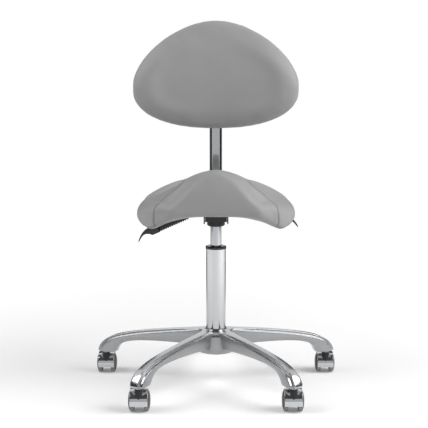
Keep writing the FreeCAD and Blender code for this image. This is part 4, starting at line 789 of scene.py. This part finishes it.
# Sewn seams: one over each lobe from its lower edge to the rear, and one along the rim.
LOBE_SEAM = ((0.1458, -0.129, 0.4253), (0.150, -0.130, 0.431), (0.150, -0.136, 0.448), (0.149, -0.135, 0.4616),
             (0.139, -0.121, 0.480), (0.128, -0.110, 0.491), (0.1085, -0.117, 0.505), (0.0936, -0.122, 0.5136),
             (0.080, -0.118, 0.523), (0.073, -0.095, 0.526), (0.074, -0.050, 0.519), (0.080, 0.020, 0.513),
             (0.087, 0.090, 0.514), (0.085, 0.140, 0.508), (0.077, 0.168, 0.490), (0.069, 0.181, 0.470))
RIM_SEAM = ((0.1458, -0.129, 0.4253), (0.168, -0.085, 0.418), (0.182, -0.045, 0.421), (0.194, 0.005, 0.431),
            (0.191, 0.070, 0.442), (0.178, 0.130, 0.452), (0.143, 0.166, 0.460), (0.080, 0.182, 0.470),
            (0.010, 0.183, 0.472))
SEAM_SINK = 0.0012
SEAM_REACH = 0.0035
points = points_of(saddle)
halves = folded(points)
distance, run = along_line(halves, drape(saddle, LOBE_SEAM))
rim_distance, rim_run = along_line(halves, drape(saddle, RIM_SEAM))
run = np.where(rim_distance < distance, rim_run, run)
distance = np.minimum(distance, rim_distance)
set_points(saddle, points - normals_of(saddle) * (SEAM_SINK * np.exp(-(distance / SEAM_REACH) ** 2))[:, None])
number_points(saddle, "seam", distance)
number_points(saddle, "seam_run", run)
saddle.data.materials.append(leatherette)
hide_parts("seat_cushion")
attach(saddle, "seat")


# BACK
# Steel bracket on the back axle, a chromed flat-oval post and a moulded clamp that slides on it.
# A knob with a steel stud holds the clamp, and four screws hold the pad's board to it.
coat(black_coat, "back_bracket")
coat(zinc_plate, "back_bolts", "backrest_screws")
coat(bright_chrome, "back_post")
coat(matt_black, "post_cap", "backrest_carriage")

# Clamp knob: a moulded star grip on a steel stud.
KNOB_RADIUS = 0.0198
KNOB_CLEAR = 0.0008
FLUTES = 9
FLUTE_DEPTH = 0.0026
STUD_RADIUS = 0.004
knob_low, knob_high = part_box("clamp_knob")
clamp_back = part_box("backrest_carriage")[1].y
knob_height = (knob_low.z + knob_high.z) / 2
head_from = clamp_back + KNOB_CLEAR
deselect()
bpy.ops.mesh.primitive_cylinder_add(vertices=108, radius=KNOB_RADIUS, depth=knob_high.y - head_from,
                                    location=(0, (knob_high.y + head_from) / 2, knob_height),
                                    rotation=(math.pi / 2, 0, 0))
knob = bpy.context.object
knob.name = "clamp_knob_moulding"
bpy.ops.object.transform_apply(location=True, rotation=True, scale=True)
select_faces(knob, lambda face: face.normal.y > 0.9)
bpy.ops.mesh.inset(thickness=0.0075, depth=0.0)
bpy.ops.mesh.inset(thickness=0.0012, depth=-0.0010)
bpy.ops.object.mode_set(mode="OBJECT")
for vert in knob.data.vertices:
    out = Vector((vert.co.x, 0, vert.co.z - knob_height))
    if out.length > KNOB_RADIUS * 0.9:
        flute = max(0.0, math.cos(FLUTES * math.atan2(out.z, out.x)))
        vert.co -= out.normalized() * FLUTE_DEPTH * flute ** 2
bevel(knob, 0.0014, 3)
bpy.ops.mesh.primitive_cylinder_add(vertices=32, radius=STUD_RADIUS, depth=head_from + 0.004 - knob_low.y,
                                    location=(0, (head_from + 0.004 + knob_low.y) / 2, knob_height),
                                    rotation=(math.pi / 2, 0, 0))
stud = bpy.context.object
bpy.ops.object.transform_apply(location=True, rotation=True, scale=True)
knob.data.materials.append(matt_black)
stud.data.materials.append(zinc_plate)
unite(knob, stud)
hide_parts("clamp_knob")
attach(knob, "knob")

# Board behind the pad: a moulded plate with round corners, curved like the pad's back.
BOARD_DEPTH = 0.008
CORNER_POWER = 5.0
board_low, board_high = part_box("backrest_board")
deselect()
bpy.ops.mesh.primitive_grid_add(x_subdivisions=60, y_subdivisions=36, size=2.0, location=(0, 0, 0))
board = bpy.context.object
board.name = "backrest_board_moulding"
across, upward = points_of(board)[:, 0], points_of(board)[:, 1]
disc = np.stack([across * np.sqrt(1 - upward ** 2 / 2), upward * np.sqrt(1 - across ** 2 / 2)])
reach = np.maximum(np.linalg.norm(disc, axis=0), 1e-9)
disc = disc * reach / (np.abs(disc) ** CORNER_POWER).sum(axis=0).clip(1e-30) ** (1 / CORNER_POWER)
hollow = board_high.y - board_low.y - BOARD_DEPTH
set_points(board, np.stack([disc[0] * (board_high.x - board_low.x) / 2,
                            board_high.y - BOARD_DEPTH - hollow * disc[0] ** 2,
                            (board_low.z + board_high.z) / 2 + disc[1] * (board_high.z - board_low.z) / 2], axis=1))
plate = board.modifiers.new("plate", "SOLIDIFY")
plate.thickness = BOARD_DEPTH
plate.offset = -1.0
bevel(board, 0.0022, 3)
board.data.materials.append(matt_black)
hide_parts("backrest_board")
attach(board, "backrest")


# BACKREST
# Foam pad on the moulded board, covered in the same grey leatherette.
# The front cover is drawn round the edge and sewn to a flat panel on the back.
PAD_BACK = 0.178
pillow = cover_blank("backrest_cushion", "backrest_cover", COVER_TUCK, COVER_MESH)
blow_up(pillow, points_of(pillow)[:, 1] > PAD_BACK, COVER_PRESSURE, COVER_TRAVEL)
settle(pillow, 12)
fill_out(pillow, "backrest_cushion")
subdivide(pillow, 1)
bpy.ops.object.shade_smooth()

# The foam is moulded with a soft raised rim at each side, so that the middle lies in a shallow dish.
RIM_RISE = 0.0070
RIM_PLACE = 0.048
RIM_SPREAD = 0.027
points = points_of(pillow)
normals = normals_of(pillow)
pad_low, pad_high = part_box("backrest_cushion")
pad_middle = (pad_low.z + pad_high.z) / 2
angle = np.arctan2(points[:, 2] - pad_middle, points[:, 0])
reach = np.hypot(points[:, 0], points[:, 2] - pad_middle)
bearings = np.linspace(-math.pi, math.pi, 97)
outline = np.array([reach[np.abs(np.angle(np.exp(1j * (angle - bearing)))) < 0.05].max() for bearing in bearings])
inside = np.interp(angle, bearings, outline) - reach
rim = RIM_RISE * np.cos(angle) ** 2 * np.exp(-((inside - RIM_PLACE) / RIM_SPREAD) ** 2)
points = points + normals * (rim * np.clip(-2 * normals[:, 1], 0, 1))[:, None]
set_points(pillow, points)

# A sewn seam joins the back panel to the front cover, a little inside the edge.
BORDER_SHARE = 0.93
border = []
for bearing, far in zip(bearings, BORDER_SHARE * outline):
    behind = Vector((far * math.cos(bearing), pad_high.y + 0.01, pad_middle + far * math.sin(bearing)))
    border.append(pillow.closest_point_on_mesh(behind)[1])
distance, run = along_line(points, np.array(border))
set_points(pillow, points - normals_of(pillow) * (SEAM_SINK * np.exp(-(distance / SEAM_REACH) ** 2))[:, None])
number_points(pillow, "seam", distance)
number_points(pillow, "seam_run", run)
pillow.data.materials.append(leatherette)
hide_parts("backrest_cushion")
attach(pillow, "backrest")


# STUDIO
# White floor and backdrop in a dark room: soft lamps from above and the sides, and dark walls and a dark
# ceiling that only the metal sees, which draw its edges. Walls, cards and ceiling are glowing sheets that give
# painted reflections; the far wall behind the camera glows light grey.
deselect()
bpy.ops.mesh.primitive_circle_add(vertices=96, radius=3.2, fill_type="NGON", location=(0, 0, 0))
floor = bpy.context.object
floor.name = "floor"
white_floor, surface = new_finish("white_floor")
path = add(white_floor, "ShaderNodeLightPath")
seen = add(white_floor, "ShaderNodeMath", {"operation": "MAXIMUM"},
           {0: path.outputs["Is Camera Ray"], 1: path.outputs["Is Glossy Ray"]})
place = add(white_floor, "ShaderNodeTexCoord")
reach = add(white_floor, "ShaderNodeVectorMath", {"operation": "LENGTH"}, {0: place.outputs["Object"]})
glow = add(white_floor, "ShaderNodeMapRange",
           {"From Min": 0.7, "From Max": 2.6, "To Min": 0.16, "To Max": 0.66}, {"Value": reach.outputs["Value"]})
lift = add(white_floor, "ShaderNodeMath", {"operation": "MULTIPLY"},
           {0: seen.outputs["Value"], 1: glow.outputs["Result"]})
surface.inputs["Base Color"].default_value = linear("f4f4f4")
surface.inputs["Roughness"].default_value = 0.9
surface.inputs["Specular IOR Level"].default_value = 0.0
surface.inputs["Emission Color"].default_value = (1, 1, 1, 1)
join(white_floor, lift.outputs["Value"], surface.inputs["Emission Strength"])
floor.data.materials.append(white_floor)

world = bpy.data.worlds.new("studio_air")
bpy.context.scene.world = world
world.use_nodes = True
world.node_tree.nodes.clear()
path = add(world, "ShaderNodeLightPath")
seen = add(world, "ShaderNodeMath", {"operation": "MAXIMUM"},
           {0: path.outputs["Is Camera Ray"], 1: path.outputs["Is Glossy Ray"]})
seen = add(world, "ShaderNodeMath", {"operation": "MAXIMUM"},
           {0: seen.outputs["Value"], 1: path.outputs["Is Transmission Ray"]})
fill_light = add(world, "ShaderNodeBackground", {"Color": (1, 1, 1, 1), "Strength": 0.28})
white_air = add(world, "ShaderNodeBackground", {"Color": (1, 1, 1, 1), "Strength": 1.0})
mixed = add(world, "ShaderNodeMixShader", links={
    0: seen.outputs["Value"], 1: fill_light.outputs["Background"], 2: white_air.outputs["Background"]})
add(world, "ShaderNodeOutputWorld", links={"Surface": mixed.outputs["Shader"]})

for name, place, aim, width, tall, power in (
        ("key_lamp", (2.5, -0.8, 2.2), (0, 0, 0.6), 2.4, 2.4, 96.0),
        ("left_lamp", (-2.1, -0.6, 2.2), (0, 0, 0.5), 1.8, 1.8, 40.0)):
    lamp_data = bpy.data.lights.new(name, "AREA")
    lamp_data.shape = "RECTANGLE"
    lamp_data.size = width
    lamp_data.size_y = tall
    lamp_data.energy = power
    lamp = bpy.data.objects.new(name, lamp_data)
    lamp.location = place
    lamp.rotation_euler = (Vector(aim) - Vector(place)).to_track_quat("-Z", "Y").to_euler()
    bpy.context.scene.collection.objects.link(lamp)

for name, shade, corners in (
        ("left_wall", "202020", ((-3.0, -6, 0), (-3.0, 1.2, 0), (-3.0, 1.2, 3.0), (-3.0, -6, 3.0))),
        ("right_wall", "202020", ((3.0, -6, 0), (3.0, 1.2, 0), (3.0, 1.2, 3.0), (3.0, -6, 3.0))),
        ("far_wall", "d2d2d2", ((-3.0, -6, 0), (3.0, -6, 0), (3.0, -6, 3.0), (-3.0, -6, 3.0))),
        ("left_card", "242424", ((-0.76, 0.6, 0), (-0.5, 1.6, 0), (-0.5, 1.6, 1.3), (-0.76, 0.6, 1.3))),
        ("right_card", "242424", ((0.76, 0.6, 0), (0.5, 1.6, 0), (0.5, 1.6, 1.3), (0.76, 0.6, 1.3))),
        ("ceiling", "565656", ((-3.0, -6, 3.0), (3.0, -6, 3.0), (3.0, 0.6, 3.0), (-3.0, 0.6, 3.0)))):
    # Each sheet is black, glows in its own shade, and shows only in reflections.
    wall_glow, surface = new_finish(name + "_paint")
    surface.inputs["Base Color"].default_value = (0, 0, 0, 1)
    surface.inputs["Specular IOR Level"].default_value = 0.0
    surface.inputs["Emission Color"].default_value = linear(shade)
    surface.inputs["Emission Strength"].default_value = 1.0
    wall_data = bpy.data.meshes.new(name)
    wall_data.from_pydata(corners, [], [(0, 1, 2, 3)])
    wall = bpy.data.objects.new(name, wall_data)
    bpy.context.scene.collection.objects.link(wall)
    wall_data.materials.append(wall_glow)
    wall.visible_camera = False
    wall.visible_diffuse = False
    wall.visible_shadow = False
    wall.visible_transmission = False

# Camera of the photograph: a long lens at chest height, in front and a little above the seat.
camera_data = bpy.data.cameras.new("camera")
camera_data.sensor_width = 36.0
camera_data.lens = 36.0 * 1005 / 428
camera = bpy.data.objects.new("camera", camera_data)
camera.location = (-0.005, -2.532, 0.735)
camera.rotation_euler = (math.radians(90 - 6.66), 0.0, 0.0)
bpy.context.scene.collection.objects.link(camera)
bpy.context.scene.camera = camera
bpy.context.scene.view_settings.view_transform = "Standard"
